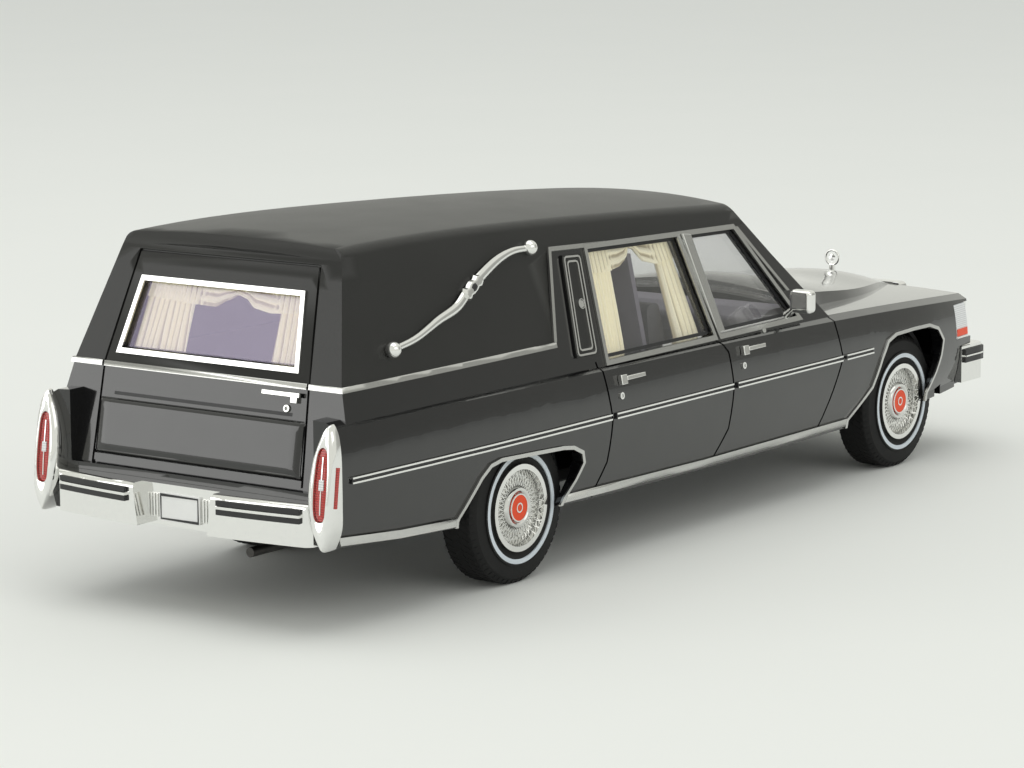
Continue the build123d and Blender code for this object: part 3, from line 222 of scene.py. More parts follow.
room = Finish("studio", bpy.data.worlds)
scene.world = room.material
direction = room.add("ShaderNodeTexCoord", output="Generated")
nearness = room.add("ShaderNodeVectorMath", {"operation": "DOT_PRODUCT"},
                    {0: direction, 1: Vector(flag_way).normalized()[:]}, output="Value")
flag = room.add("ShaderNodeMapRange", {"interpolation_type": "SMOOTHSTEP"}, {
    "Value": nearness, "From Min": flag_edges[0], "From Max": flag_edges[1]})
open_share = 1 - flag * flag_darkness
to_camera, to_gloss, to_glass = [room.add("ShaderNodeLightPath", output=ray) for ray in (
    "Is Camera Ray", "Is Glossy Ray", "Is Transmission Ray")]
shown = room.add("ShaderNodeBackground", inputs={
    "Color": background, "Strength": room.math_of("MAXIMUM", open_share, to_camera)})
glow = room.add("ShaderNodeBackground", inputs={"Color": glow_colour, "Strength": glow_level})
seen = room.math_of("MAXIMUM", room.math_of("MAXIMUM", to_camera, to_gloss), to_glass)
room.add("ShaderNodeOutputWorld", inputs={
    "Surface": room.add("ShaderNodeMixShader", inputs={0: seen, 1: glow, 2: shown})}, output=None)
print("flag takes away", flag_darkness, "of the light")

# %% [markdown]
# ## The lamps
#
# The lamps are wide and soft, and their edges are never seen. One hangs over
# the car, one fills its right side, and a small one behind it shows as a pale
# gleam in the rear door. They stay low enough for colours to render as they
# are written.

# %% Lamps
# Columns: name, place in metres, size in metres, power in watts
lamps = [
    ("top_softbox", (-0.05, 0.0, 0.75), (0.9, 0.7), 1.45),
    ("right_softbox", (-0.15, -0.75, 0.42), (0.7, 0.4), 0.5),
    ("tail_softbox", (-0.64, 0.48, 0.24), (0.42, 0.44), 1.05)]
for name, place, size, power in lamps:
    lamp = bpy.data.lights.new(name, "AREA")
    lamp.shape = "RECTANGLE"
    lamp.size, lamp.size_y = size
    lamp.energy = power
    holder = bpy.data.objects.new(name, lamp)
    holder.location = place
    holder.visible_camera = False
    holder.rotation_euler = (-Vector(place)).to_track_quat("-Z", "Y").to_euler()
    bpy.context.collection.objects.link(holder)
print("lamps:", len(lamps))

# %% [markdown]
# ## The studio's floor
#
# The car stands on a roll of pale card that runs out of sight behind it. Card
# has a faint mottle and no shine, so the recipe is a slow noise between two
# close tints.

# %% Floor
floor_size = 6.0


def card():
    paper = Finish("floor_card")
    mottle = paper.noise(0.02, detail=4.0)
    return paper.surface(
        base_color=paper.tint(mottle, (0.855, 0.865, 0.800), (0.875, 0.880, 0.815)),
        roughness=paper.between(mottle, 0.85, 0.95),
        specular_ior_level=0.1)


def link_mesh(name, mesh):
    """Puts a bmesh in the scene as one object."""
    data = bpy.data.meshes.new(name)
    mesh.to_mesh(data)
    mesh.free()
    thing = bpy.data.objects.new(name, data)
    bpy.context.collection.objects.link(thing)
    return thing


floor_mesh = bmesh.new()
bmesh.ops.create_grid(floor_mesh, x_segments=1, y_segments=1, size=floor_size / 2)
floor = link_mesh("floor", floor_mesh)
floor.data.materials.append(card())
print("floor:", floor_size, "m wide")

# %% [markdown]
# ## Gloss black paint
#
# The real model is sprayed with a gloss lacquer over black plastic or metal. A
# black surface has almost no colour of its own, so its look is all in the
# clear coat: nearly smooth, with a faint orange peel that makes reflections
# swim a little. Noise that is stretched over several millimetres does that.

# %% Gloss black
def gloss_paint():
    paint = Finish("gloss_black")
    flow = paint.noise(0.35, detail=2.0)
    dust = paint.noise(7.0, detail=5.0)
    return paint.surface(
        base_color=paint.tint(dust, (0.0030, 0.0030, 0.0034), (0.0060, 0.0060, 0.0064)),
        roughness=paint.between(dust, 0.10, 0.20),
        specular_ior_level=0.32,
        coat_weight=paint.between(flow, 0.9, 1.0),
        coat_roughness=0.04,
        normal=paint.bump(flow, 0.05, 0.25))


print("paint: gloss black")

# %% [markdown]
# ## The coach roof
#
# A hearse's coach roof is padded and covered in grained vinyl, and the model
# maker sprays it satin black. Voronoi cells make the leather-like grain, and a
# slow noise keeps the sheen from being even. The grain is far too fine to
# model, so it is a bump only.

# %% Satin black vinyl
def vinyl():
    cover = Finish("satin_vinyl")
    cells = cover.add("ShaderNodeTexVoronoi", {"feature": "DISTANCE_TO_EDGE"},
                      {"Vector": cover.places(), "Scale": 5.5, "Randomness": 0.9}, output="Distance")
    slow = cover.noise(0.12, detail=3.0)
    return cover.surface(
        base_color=cover.tint(slow, (0.007, 0.007, 0.006), (0.011, 0.011, 0.010)),
        roughness=cover.between(slow, 0.36, 0.43),
        specular_ior_level=0.50,
        normal=cover.bump(cells, 0.25, 0.05))


print("vinyl: satin black")

# %% [markdown]
# ## Bright metal
#
# The trims are plated or foiled. Their colour is a pale, slightly warm grey,
# and fine scratches along the part break the mirror up a little. The same
# recipe, rougher and darker, does for the axles and for the exhaust.

# %% Chrome and steel
def metal(name, light, dark, smooth, rough, scratch=0.06):
    plate = Finish(name)
    haze = plate.noise(1.6, detail=4.0)
    fine = plate.noise(14.0, detail=2.0)
    return plate.surface(
        base_color=plate.tint(haze, light, dark),
        metallic=1.0,
        roughness=plate.between(haze, smooth, rough),
        normal=plate.bump(fine, scratch, 0.02))


print("metal: one recipe for chrome and steel")

# %% [markdown]
# ## Moulded plastic, rubber and paint
#
# Everything else that is hard on the model is moulded in coloured plastic. Each
# kind differs in its colour, its sheen and the size of its grain, so one
# recipe with those as arguments makes them all.

# %% Plastics
def plastic(name, dark, light, smooth, rough, grain=6.0, relief=0.15, shine=0.5):
    stuff = Finish(name)
    patch = stuff.noise(0.4, detail=3.0)
    fine = stuff.noise(grain, detail=4.0)
    return stuff.surface(
        base_color=stuff.tint(patch, dark, light),
        roughness=stuff.between(fine, smooth, rough),
        specular_ior_level=shine,
        normal=stuff.bump(fine, relief, 0.04))


print("plastic: one recipe for each moulded colour")

# %% [markdown]
# ## Glass
#
# The windows are clear styrene panes. A pane lets lamps through, so its shader
# turns into a plain see-through film for rays that carry shadows. To the eye it
# is a mix of that film and a smooth gloss, and the share of the gloss grows
# towards grazing angles. The rear pane is tinted lilac and throws back
# more of the room.

# %% Window panes
def pane(name, film, gleam, least):
    glass = Finish(name)
    clear = glass.add("ShaderNodeBsdfTransparent", inputs={"Color": film})
    wave = glass.noise(0.25, detail=1.0)
    gloss = glass.add("ShaderNodeBsdfPrincipled", inputs={
        "Base Color": gleam, "Metallic": 1.0, "Roughness": 0.03,
        "Normal": glass.bump(wave, 0.04, 0.2)})
    facing = glass.add("ShaderNodeLayerWeight", inputs={"Blend": 0.10}, output="Facing")
    share = glass.math_of("MAXIMUM", facing, least)
    seen_glass = glass.add("ShaderNodeMixShader", inputs={0: share, 1: clear, 2: gloss})
    shadow = glass.add("ShaderNodeLightPath", output="Is Shadow Ray")
    lit = glass.add("ShaderNodeBsdfTransparent", inputs={"Color": (0.99, 0.99, 0.99)})
    glass.end(glass.add("ShaderNodeMixShader", inputs={0: shadow, 1: seen_glass, 2: lit}))
    return glass.material


print("panes: clear and lilac")

# %% [markdown]
# ## Lamp lenses
#
# A tail-lamp lens is red plastic with fine ribs moulded inside it. The ribs are
# a wave across the lens, and a weak emission paints a small glow into the
# plastic, for light that runs around inside it.

# %% Ribbed lenses
def lens(name, deep, pale, ribs, glow):
    cover = Finish(name)
    wave = cover.add("ShaderNodeTexWave", {"bands_direction": "Z"},
                     {"Vector": cover.places(), "Scale": ribs, "Distortion": 0.0}, output="Fac")
    # Painted glow: a weak emission makes the lens shine a little with the lamp off
    return cover.surface(
        base_color=cover.tint(wave, deep, pale),
        roughness=0.12,
        coat_weight=0.6,
        emission_color=pale,
        emission_strength=glow,
        normal=cover.bump(wave, 0.3, 0.08))


print("lenses: red and clear")

# %% [markdown]
# ## One finish for each slot
#
# The record names a material slot for each node. The table mixes one finish
# for every slot, and three more for pieces that differ from their slot: the
# lilac rear pane, the duller trims, and the wheel covers' dishes.

# %% Finishes
finishes = {
    "gloss_black_paint": gloss_paint(),
    "matte_black_vinyl": vinyl(),
    "chrome": metal("chrome", (0.88, 0.88, 0.86), (0.80, 0.80, 0.79), 0.05, 0.10, 0.01),
    "axle_steel": metal("axle_steel", (0.62, 0.61, 0.58), (0.45, 0.44, 0.42), 0.28, 0.42),
    "exhaust_steel": metal("exhaust_steel", (0.10, 0.098, 0.094), (0.06, 0.058, 0.055), 0.45, 0.62, 0.2),
    "chassis_black": plastic("chassis_black", (0.013, 0.013, 0.014), (0.022, 0.022, 0.023), 0.50, 0.68),
    "interior_grey": plastic("interior_grey", (0.150, 0.138, 0.165), (0.200, 0.185, 0.220), 0.55, 0.72),
    "seat_grey": plastic("seat_grey", (0.060, 0.058, 0.062), (0.085, 0.082, 0.088), 0.60, 0.80, 9.0, 0.4),
    "clear_glass": pane("clear_glass", (0.98, 0.98, 0.98), (0.95, 0.95, 0.96), 0.04),
    "black_strip": plastic("black_strip", (0.010, 0.010, 0.011), (0.020, 0.020, 0.021), 0.35, 0.50),
    "red_lens": lens("red_lens", (0.28, 0.010, 0.008), (0.55, 0.030, 0.022), 1.2, 0.05),
    "lamp_lens": lens("lamp_lens", (0.62, 0.63, 0.62), (0.85, 0.86, 0.85), 1.2, 0.0),
    "plate_white": plastic("plate_white", (0.76, 0.76, 0.73), (0.84, 0.84, 0.81), 0.40, 0.50, 3.0, 0.05),
    "tyre_black": plastic("tyre_black", (0.006, 0.006, 0.006), (0.011, 0.011, 0.011), 0.55, 0.72, 4.0, 0.3, 0.3),
    "whitewall": plastic("whitewall", (0.62, 0.68, 0.72), (0.72, 0.77, 0.80), 0.45, 0.60, 4.0, 0.1),
    "centre_red": plastic("centre_red", (0.80, 0.060, 0.012), (0.88, 0.085, 0.020), 0.25, 0.35, 4.0, 0.05, 0.3)}
finishes["lilac_glass"] = pane("lilac_glass", (0.90, 0.90, 0.86), (0.70, 0.63, 0.84), 0.11)
finishes["satin_trim"] = metal("satin_trim", (0.64, 0.64, 0.62), (0.56, 0.56, 0.55), 0.20, 0.26, 0.004)
finishes["dish_chrome"] = metal("dish_chrome", (0.80, 0.80, 0.78), (0.66, 0.66, 0.65), 0.08, 0.16, 0.01)
print("finishes:", len(finishes))

# %% [markdown]
# ## Dressing the CAD nodes
#
# Most of the work is one loop over the record's slots. A few nodes take a
# finish of their own. The curtains' solids get none, because cloth replaces
# them further on.

# %% Finishes on the nodes
trims = ("surround_trims", "side_window_trims", "rocker_mouldings", "arch_mouldings", "windscreen_trim")
own_finish = {"rear_glass": "lilac_glass", **{name: "satin_trim" for name in trims}}
slot_of = {part["node"]: part["material_slot"] for part in frame["record"]["subparts"]}
for name, thing in nodes.items():
    thing.data.materials.clear()
    if slot_of[name] in finishes:
        thing.data.materials.append(finishes[own_finish.get(name, slot_of[name])])
print("dressed:", sum(bool(thing.data.materials) for thing in nodes.values()), "nodes")

# %% [markdown]
# ## Rays at the CAD mesh
#
# To seat a piece on the car, a ray is shot at the CAD mesh from beside or from
# behind it. The piece then follows the curved side without being measured by
# hand. A tree of the node's faces makes the search quick.

# %% Rays
from mathutils.bvhtree import BVHTree

far_side = 60.0
far_end = 90.0
trees = {}


def hit(node, start, way):
    """Where a ray in millimetres meets a CAD node, and the normal there."""
    if node not in trees:
        data = nodes[node].data
        trees[node] = BVHTree.FromPolygons([v.co / mm for v in data.vertices],
                                           [list(face.vertices) for face in data.polygons])
    place, normal, _, _ = trees[node].ray_cast(Vector(start), Vector(way).normalized())
    return place, normal


def hit_side(node, x, z, side):
    """Where a ray from beside the car meets a node, at a place along it and a height."""
    return hit(node, (x, side * far_side, z), (0, -side, 0))


print("side at the rear door:", hit_side("body_shell", -10.0, 19.0, -1)[0])

# %% [markdown]
# ## Finishing a piece
#
# A piece is drawn in millimetres and scaled once it is done. Faces are shaded
# smooth, except across edges that are sharper than an angle, and a bevel may
# round its sharpest edges. Then the piece gets its slot's finish, or a finish
# of its own, and rides on its body.

# %% Finished pieces
bevel_angle = math.radians(50)


def finished(name, mesh, slot, body="body", smooth=40.0, bevel=0.0, finish=None):
    """Turns a bmesh in millimetres into a dressed piece that rides on a body."""
    bmesh.ops.scale(mesh, vec=(mm, mm, mm), verts=mesh.verts)
    bmesh.ops.recalc_face_normals(mesh, faces=mesh.faces)
    thing = link_mesh(name, mesh)
    for face in thing.data.polygons:
        face.use_smooth = True
    thing.data.set_sharp_from_angle(angle=math.radians(smooth))
    if bevel:
        round_off = thing.modifiers.new("edges", "BEVEL")
        round_off.width = bevel * mm
        round_off.segments = 2
        round_off.limit_method = "ANGLE"
        round_off.angle_limit = bevel_angle
    thing.data.materials.append(finish or finishes[slot])
    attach(thing, body)
    return thing

print("bevels from", round(math.degrees(bevel_angle)), "degrees")

# %% [markdown]
# ## Rings and bars
#
# Most small forms are loops of points, each joined to the next with four-sided
# faces. A closed profile that is turned about an axle gives a ring, and an
# oblong that is carried along a path gives a bar. Such forms have no stray
# edges, and they bend evenly.

# %% Rings and bars
def join_loops(mesh, loops, closed=False):
    """Four-sided faces between each loop of points and the next."""
    for loop, after in zip(loops, loops[1:] + (loops[:1] if closed else [])):
        for i in range(len(loop)):
            j = (i + 1) % len(loop)
            mesh.faces.new((loop[i], loop[j], after[j], after[i]))


def close_ends(mesh, loops):
    """A face on the first and on the last loop."""
    mesh.faces.new(loops[0][::-1])
    mesh.faces.new(loops[-1])


def add_ring(mesh, profile, centre, axis="Y", segments=64):
    """Turns a closed profile of (radius, run) points about an axis through a centre."""
    spin = {"X": lambda r, run, c, s: (run, r * c, r * s),
            "Y": lambda r, run, c, s: (r * c, run, r * s)}[axis]
    loops = []
    for step in range(segments):
        turn = 2 * math.pi * step / segments
        loops.append([mesh.verts.new(Vector(spin(r, run, math.cos(turn), math.sin(turn))) + Vector(centre))
                      for r, run in profile])
    join_loops(mesh, loops, closed=True)


def add_bar(mesh, path, wide, thick, normals, closed=False):
    """An oblong bar along a path, its thickness along one normal or one for each point."""
    if isinstance(normals, Vector):
        normals = [normals] * len(path)
    loops = []
    count = len(path)
    for i, (point, normal) in enumerate(zip(path, normals)):
        before = path[i - 1] if i or closed else path[i]
        after = path[(i + 1) % count] if i < count - 1 or closed else path[i]
        along = (Vector(after) - Vector(before)).normalized()
        up = Vector(normal).normalized()
        across = up.cross(along).normalized() * wide / 2
        if 0 < i < count - 1 or closed:
            first = (Vector(point) - Vector(before)).normalized()
            across /= max(0.5, abs(first.dot(along)))
        middle = Vector(point)
        loops.append([mesh.verts.new(middle + across * a + up * b)
                      for a, b in ((-1, 0), (-1, thick), (1, thick), (1, 0))])
    join_loops(mesh, loops, closed)
    if not closed:
        close_ends(mesh, loops)


print("forms: ring and bar")

# %% [markdown]
# ## Sheets of cloth
#
# A curtain is a grid of points in rows, doubled to give the cloth its thickness
# and closed all round. Every point also keeps how far forward in its fold it
# stands, as a number that the cloth's recipe reads to paint shade into the valleys.

# %% Cloth sheets
def add_cloth(mesh, rows, thick):
    """A sheet from rows of (point, normal, how far forward), closed all round."""
    layer = mesh.verts.layers.float.get("fold") or mesh.verts.layers.float.new("fold")
    sheets = []
    for way in (1, -1):
        sheet = [[mesh.verts.new(Vector(p) + Vector(n) * way * thick / 2) for p, n, _ in row]
                 for row in rows]
        for line, row in zip(sheet, rows):
            for vert, (_, _, forward) in zip(line, row):
                vert[layer] = forward
        sheets.append(sheet)
    front, back = sheets
    tall, wide = len(rows), len(rows[0])
    for i in range(tall - 1):
        for j in range(wide - 1):
            mesh.faces.new((front[i][j], front[i][j + 1], front[i + 1][j + 1], front[i + 1][j]))
            mesh.faces.new((back[i][j], back[i + 1][j], back[i + 1][j + 1], back[i][j + 1]))
    for i in range(tall - 1):
        mesh.faces.new((front[i][0], front[i + 1][0], back[i + 1][0], back[i][0]))
        mesh.faces.new((front[i][-1], back[i][-1], back[i + 1][-1], front[i + 1][-1]))
    for j in range(wide - 1):
        mesh.faces.new((front[0][j], back[0][j], back[0][j + 1], front[0][j + 1]))
        mesh.faces.new((front[-1][j], front[-1][j + 1], back[-1][j + 1], back[-1][j]))


print("forms: cloth")

# %% [markdown]
# ## Curtain cloth
#
# The windows are dressed in cream cloth. A weave is two sets of fine waves at
# right angles, and cloth catches light along its edges, which the
# shader's sheen gives. A weak emission in the cloth's own colour paints light
# into it, so that it shows brighter than the lamps make it. The valleys between
# folds get painted shade: each point of the cloth says how far forward it
# stands, and the recipe darkens the colour and the glow towards the valleys.

# %% Curtain cloth
def cloth(name, light, shade, valley_shade):
    fabric = Finish(name)
    # Painted shade: how far forward the cloth stands sets how dark it is in the valleys between folds
    fold = fabric.add("ShaderNodeAttribute", {"attribute_name": "fold"}, output="Fac")
    fold_shade_mask = fabric.add("ShaderNodeMapRange", {"interpolation_type": "SMOOTHSTEP"}, {
        "Value": fold, "From Min": 0.0, "From Max": 0.55})
    own = fabric.places()
    warp, weft = [fabric.add("ShaderNodeTexWave", {"bands_direction": way},
                             {"Vector": own, "Scale": 4.5}, output="Fac") for way in "XZ"]
    fade = fabric.noise(0.5, detail=3.0)
    # Painted light and shade: the emission makes the cloth glow, and the glow is darkened in the valleys like
    # the colour
    return fabric.surface(
        base_color=fabric.tint(fold_shade_mask, valley_shade, fabric.tint(fade, shade, light)),
        roughness=fabric.between(fade, 0.80, 0.92),
        sheen_weight=0.3,
        sheen_roughness=0.4,
        emission_color=fabric.tint(fold_shade_mask, valley_shade, light),
        emission_strength=0.24,
        normal=fabric.bump(warp * 0.5 + weft * 0.5, 0.25, 0.03))


finishes["curtain_cloth"] = cloth(
    "curtain_cloth", light=(0.92, 0.87, 0.66), shade=(0.84, 0.78, 0.56), valley_shade=(0.40, 0.34, 0.22))
print("cloth: cream")

# %% [markdown]
# ## Pleated drapes
#
# Each dressed window has one curtain: two pleated drapes that hang straight,
# and a valance over them. Straight pleats at this size need no simulation. They
# are a wave along the rail, squared a little and wandering as it falls.

# %% Drapes
cloth_thick = 0.12
pleat_depth = 0.30
pleat_pitch = 0.80
pleat_wander = 0.18
pleat_squareness = 0.75
points_a_pleat = 10
drape_rows = 24
tiny_step = 0.004


def cloth_point(place, u, v, depth, forward):
    """A point of the cloth, the normal there and how far forward it stands."""
    middle = place(u, v, depth)
    across = place(u + tiny_step, v, depth) - middle
    down = place(u, v + tiny_step, depth) - middle
    return middle, across.cross(down).normalized(), forward


def add_drape(mesh, place, low_u, high_u, width):
    """Straight pleats between two edges, each given at the top and at the bottom."""
    pleats = round((high_u[0] - low_u[0]) * width / pleat_pitch)
    columns = pleats * points_a_pleat
    rows = []
    for i in range(drape_rows + 1):
        v = i / drape_rows
        row = []
        for j in range(columns + 1):
            run = j / columns
            left = low_u[0] + (low_u[1] - low_u[0]) * v
            right = high_u[0] + (high_u[1] - high_u[0]) * v
            wander = pleat_wander * math.sin(2.3 * v + 1.7 * run * pleats)
            wave = math.sin(2 * math.pi * (run * pleats + wander * v))
            wave = math.copysign(abs(wave) ** pleat_squareness, wave)
            row.append(cloth_point(place, left + (right - left) * run, v,
                                   -pleat_depth * wave, 0.5 - 0.5 * wave))
        rows.append(row)
    add_cloth(mesh, rows, cloth_thick)


print("pleats:", pleat_pitch, "mm apart")

# %% [markdown]
# ## Valances and whole curtains
#
# A valance is two swags that meet at a peak between pleated ends. A swag is the
# same wave as a pleat, but turned to run along the lower edge, which fans the
# folds out from the peak. A window's curtain is drawn on a flat frame between
# four corners, and that frame is laid behind the pane.

# %% Valances
swag_depth = 0.20
swag_folds = 2.6
swag_turn = 0.35
swag_shares = (0.30, 0.84)
swag_edge = 12
valance_rows = 26
valance_forward = 0.30


def blend_points(points, share):
    """The value at a share of a polyline of (share, value) pairs, with eased corners."""
    for (a, low), (b, high) in zip(points, points[1:]):
        if share <= b:
            ease = (share - a) / (b - a)
            ease = ease * ease * (3 - 2 * ease) * 0.6 + ease * 0.4
            return low + (high - low) * ease
    return points[-1][1]


def add_valance(mesh, place, hem, width):
    """Two swags between pleated ends, down to a hem."""
    columns = round(width / pleat_pitch) * points_a_pleat
    rows = []
    for i in range(valance_rows + 1):
        fall = i / valance_rows
        row = []
        for j in range(columns + 1):
            u = j / columns
            drop = blend_points(hem, u)
            fold = math.sin(2 * math.pi * (swag_folds * fall + swag_turn * math.sin(5 * u)))
            pleat = math.sin(2 * math.pi * u * width / pleat_pitch)
            swag = min(1.0, max(0.0, swag_edge * (u - swag_shares[0])),
                       max(0.0, swag_edge * (swag_shares[1] - u)))
            wave = swag * fold + (1 - swag) * pleat
            depth = valance_forward + swag_depth * wave * min(1.0, fall * 4, drop / 0.12)
            row.append(cloth_point(place, u, drop * fall, depth, 0.5 + 0.5 * wave))
        rows.append(row)
    add_cloth(mesh, rows, cloth_thick)


def hang_curtain(place, inner_edges, hem, width):
    """Drapes and valance of one window. place turns (u, v, depth) into a point."""
    mesh = bmesh.new()
    add_drape(mesh, place, (0.0, 0.0), inner_edges[0], width)
    add_drape(mesh, place, inner_edges[1], (1.0, 1.0), width)
    add_valance(mesh, place, hem, width)
    area = sum(face.calc_area() for face in mesh.faces) / 2
    print("curtain:", round(area, 1), "square mm of cloth,", len(mesh.faces), "faces")
    return mesh


def corner_frame(corners, face):
    """Turns (u, v, depth) into a point between four corners, laid on a face."""
    (tl, tr, bl, br) = [Vector(corner) for corner in corners]

    def place(u, v, depth):
        flat = (tl * (1 - u) + tr * u) * (1 - v) + (bl * (1 - u) + br * u) * v
        return face(flat, depth)
    return place


print("swags:", swag_folds, "folds each")

# %% [markdown]
# ## Side curtains
#
# A side curtain hangs a little behind its pane. Rays find the pane, but the
# curtain is larger than the pane, so past the pane's edges it goes on at the
# lean of the car's side.

# %% Side curtains
curtain_inset = 1.57
side_lean = 0.28
# Heights at which a ray is sure to meet the pane, and its height above the foot
pane_heights = (24.6, 34.9)
pane_foot, pane_tall = 24.2, 11.6
# Columns: an edge's place along the car at the foot, and its run to the top
pane_rear, pane_front = (-18.8, 1.0), (2.3, -1.9)


def side_face(side):
    """Lays points behind the rear side glass."""
    def face(flat, depth):
        z = min(max(flat.z, pane_heights[0]), pane_heights[1])
        share = (z - pane_foot) / pane_tall
        x = min(max(flat.x, pane_rear[0] + pane_rear[1] * share), pane_front[0] + pane_front[1] * share)
        point, _ = hit_side("rear_side_glass", x, z, side)
        return Vector((flat.x, point.y - side * (curtain_inset - depth + side_lean * (flat.z - z)), flat.z))
    return face


# Corners along the car and up, in millimetres, just inside the CAD solid's edge
side_corners = [(-18.2, 0, 36.0), (1.0, 0, 35.6), (-19.4, 0, 23.3), (3.1, 0, 23.3)]
# Where the drapes end inwards, at the top and at the bottom, as shares of the width
side_drapes = ((0.345, 0.275), (0.840, 0.775))
# Columns: share of the width, share of the height that the valance hangs down
side_hem = [(0.0, 0.24), (0.28, 0.26), (0.42, 0.235), (0.50, 0.19), (0.56, 0.075), (0.60, 0.09),
            (0.68, 0.22), (0.80, 0.26), (1.0, 0.235)]
for side, name in ((-1, "right_window_curtain"), (1, "left_window_curtain")):
    mesh = hang_curtain(corner_frame(side_corners, side_face(side)), side_drapes, side_hem, 20.0)
    piece = finished(name, mesh, "curtain_cloth", smooth=60)
    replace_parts(piece, "side_curtains")

# %% [markdown]
# ## Rear curtain
#
# The rear curtain is hung in the same way behind the rear glass. Its plane
# leans with the tail.

# %% Rear curtain
tail_lean = 0.362
rear_pane_half = 10.8
rear_pane_heights = (28.6, 35.0)


def tail_face(flat, depth):
    """Lays points behind the rear glass, and past its edges along its plane."""
    y = min(max(flat.y, -rear_pane_half), rear_pane_half)
    z = min(max(flat.z, rear_pane_heights[0]), rear_pane_heights[1])
    point, _ = hit("rear_glass", (-far_end, y, z), (1, 0, 0))
    return Vector((point.x + tail_lean * (flat.z - z) + curtain_inset - depth, flat.y, flat.z))


# Corners across the car and up: the left of the window as it is seen from behind comes first
rear_corners = [(0, 11.55, 35.75), (0, -11.55, 35.75), (0, 12.65, 27.75), (0, -12.65, 27.75)]
rear_drapes = ((0.285, 0.315), (0.815, 0.785))
rear_hem = [(0.0, 0.28), (0.30, 0.33), (0.42, 0.34), (0.49, 0.24), (0.545, 0.165), (0.60, 0.20),
            (0.66, 0.31), (0.76, 0.345), (1.0, 0.30)]
mesh = hang_curtain(corner_frame(rear_corners, tail_face), rear_drapes, rear_hem, 24.0)
piece = finished("rear_window_curtain", mesh, "curtain_cloth", smooth=60)
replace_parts(piece, "rear_curtain")

# %% [markdown]
# ## Lines laid on the car
#
# The bright lines of such a model are thin bands of foil or paint that follow
# the pressed metal. Each is drawn as a few points, a ray finds the metal under
# every point, and a flat bar is drawn through them. Where a pane or a panel
# lies over the body, the outermost one counts.

# %% Laid paths
shell = ["body_shell"]


def laid_points(points, side, nodes_under, lift=0.0):
    """Points (x, z) laid on the outermost of some nodes, with the normals there."""
    path, normals = [], []
    for x, z in points:
        found = [hit_side(node, x, z, side) for node in nodes_under]
        found = [(point, normal) for point, normal in found if point is not None]
        if found:
            point, normal = max(found, key=lambda pair: side * pair[0].y)
            normal = normal if normal.y * side > 0 else -normal
            path.append(point + normal * lift)
            normals.append(normal)
    return path, normals


def ray_path(node, starts, way):
    """Points laid on a node by rays from some starts, and the normals that face them."""
    path, normals = [], []
    for start in starts:
        point, normal = hit(node, start, way)
        if point is not None:
            path.append(point)
            normals.append(normal if normal.dot(Vector(way)) < 0 else -normal)
    return path, normals


def tail_path(node, spots):
    """Points (y, z) laid on a node from behind the car."""
    return ray_path(node, [(-far_end, y, z) for y, z in spots], (1, 0, 0))


def between_points(points, step):
    """More points along a polyline, about a step apart."""
    fine = []
    for (ax, az), (bx, bz) in zip(points, points[1:]):
        count = max(1, round(math.hypot(bx - ax, bz - az) / step))
        fine += [(ax + (bx - ax) * i / count, az + (bz - az) * i / count) for i in range(count)]
    return fine + [points[-1]]


print("paths: from the side and from behind")

# %% [markdown]
# ## Side mouldings
#
# A black band with a bright line above and below it runs along the side. Where
# a door gap cuts the real moulding, a ray misses the CAD moulding, so the new
# bands are cut there too.

# %% Mouldings
moulding_z = 17.05
moulding_start, moulding_step, moulding_steps = -67.8, 0.1, 1070
# The skin of the side lies at least this far out
skin_out = 20.5
# Columns: rise above the middle, width, thickness, bright or black
moulding_bands = [(0.0, 0.70, 0.22, False), (-0.26, 0.19, 0.34, True), (0.26, 0.19, 0.34, True)]


def moulding_runs(side):
    """Where the CAD moulding lies along one side, as runs of places along the car."""
    runs, run = [], []
    for step in range(moulding_steps):
        x = moulding_start + moulding_step * step
        there = hit_side("side_mouldings", x, moulding_z, side)[0]
        if there is not None and abs(there.y) > skin_out and there.y * side > 0:
            run.append(x)
        elif run:
            runs.append((run[0], run[-1]))
            run = []
    return runs


moulding_core, moulding_lines = bmesh.new(), bmesh.new()
for side in (-1, 1):
    for low, high in moulding_runs(side):
        for rise, wide, thick, bright in moulding_bands:
            points = between_points([(low, moulding_z + rise), (high, moulding_z + rise)], 2.5)
            path, normals = laid_points(points, side, shell)
            add_bar(moulding_lines if bright else moulding_core, path, wide, thick, normals)
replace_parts(finished("moulding_cores", moulding_core, "black_strip"), "side_mouldings")
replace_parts(finished("moulding_lines", moulding_lines, "chrome"), "side_mouldings")
print("mouldings:", len(moulding_runs(-1)), "runs a side")

# %% [markdown]
# ## Outlines of the tail lamps
#
# Each tail lamp stands in an upright chrome shell that is as slim as an almond,
# with a red lens sunk in it. Both outlines are smooth curves through a few
# points. They are sampled to loops with the same number of points, because such
# loops join into clean quads.

# %% Almond outlines
# Columns: height, rearmost place along the car, inner edge, outer edge
shell_rows = [
    (10.0, -71.5, 19.85, 20.3), (12.0, -71.6, 18.75, 21.15), (14.5, -71.5, 18.1, 21.25),
    (17.0, -71.2, 18.0, 21.25), (19.8, -70.8, 18.4, 21.2), (22.0, -70.4, 19.25, 20.9),
    (23.1, -70.2, 20.0, 20.35)]
# Columns: distance across the car, height
lens_points = [(19.35, 13.2), (19.0, 14.6), (18.95, 17.5), (19.3, 20.5),
               (20.35, 20.5), (20.65, 17.5), (20.65, 14.6), (20.35, 13.2)]
shell_front = -69.2
loop_count = 56


def curve_point(p, f):
    """The smooth curve through four points, at a share of the way between the middle two."""
    return 0.5 * (2 * p[1] + (p[2] - p[0]) * f + (2 * p[0] - 5 * p[1] + 4 * p[2] - p[3]) * f ** 2
                  + (3 * p[1] - p[0] - 3 * p[2] + p[3]) * f ** 3)


def rounded_loop(points, count):
    """A closed smooth curve through points, as evenly numbered samples."""
    total = len(points)
    loop = []
    for i in range(count):
        place = i * total / count
        k = int(place)
        loop.append(curve_point([Vector(points[(k + n - 1) % total]) for n in range(4)], place - k))
    return loop


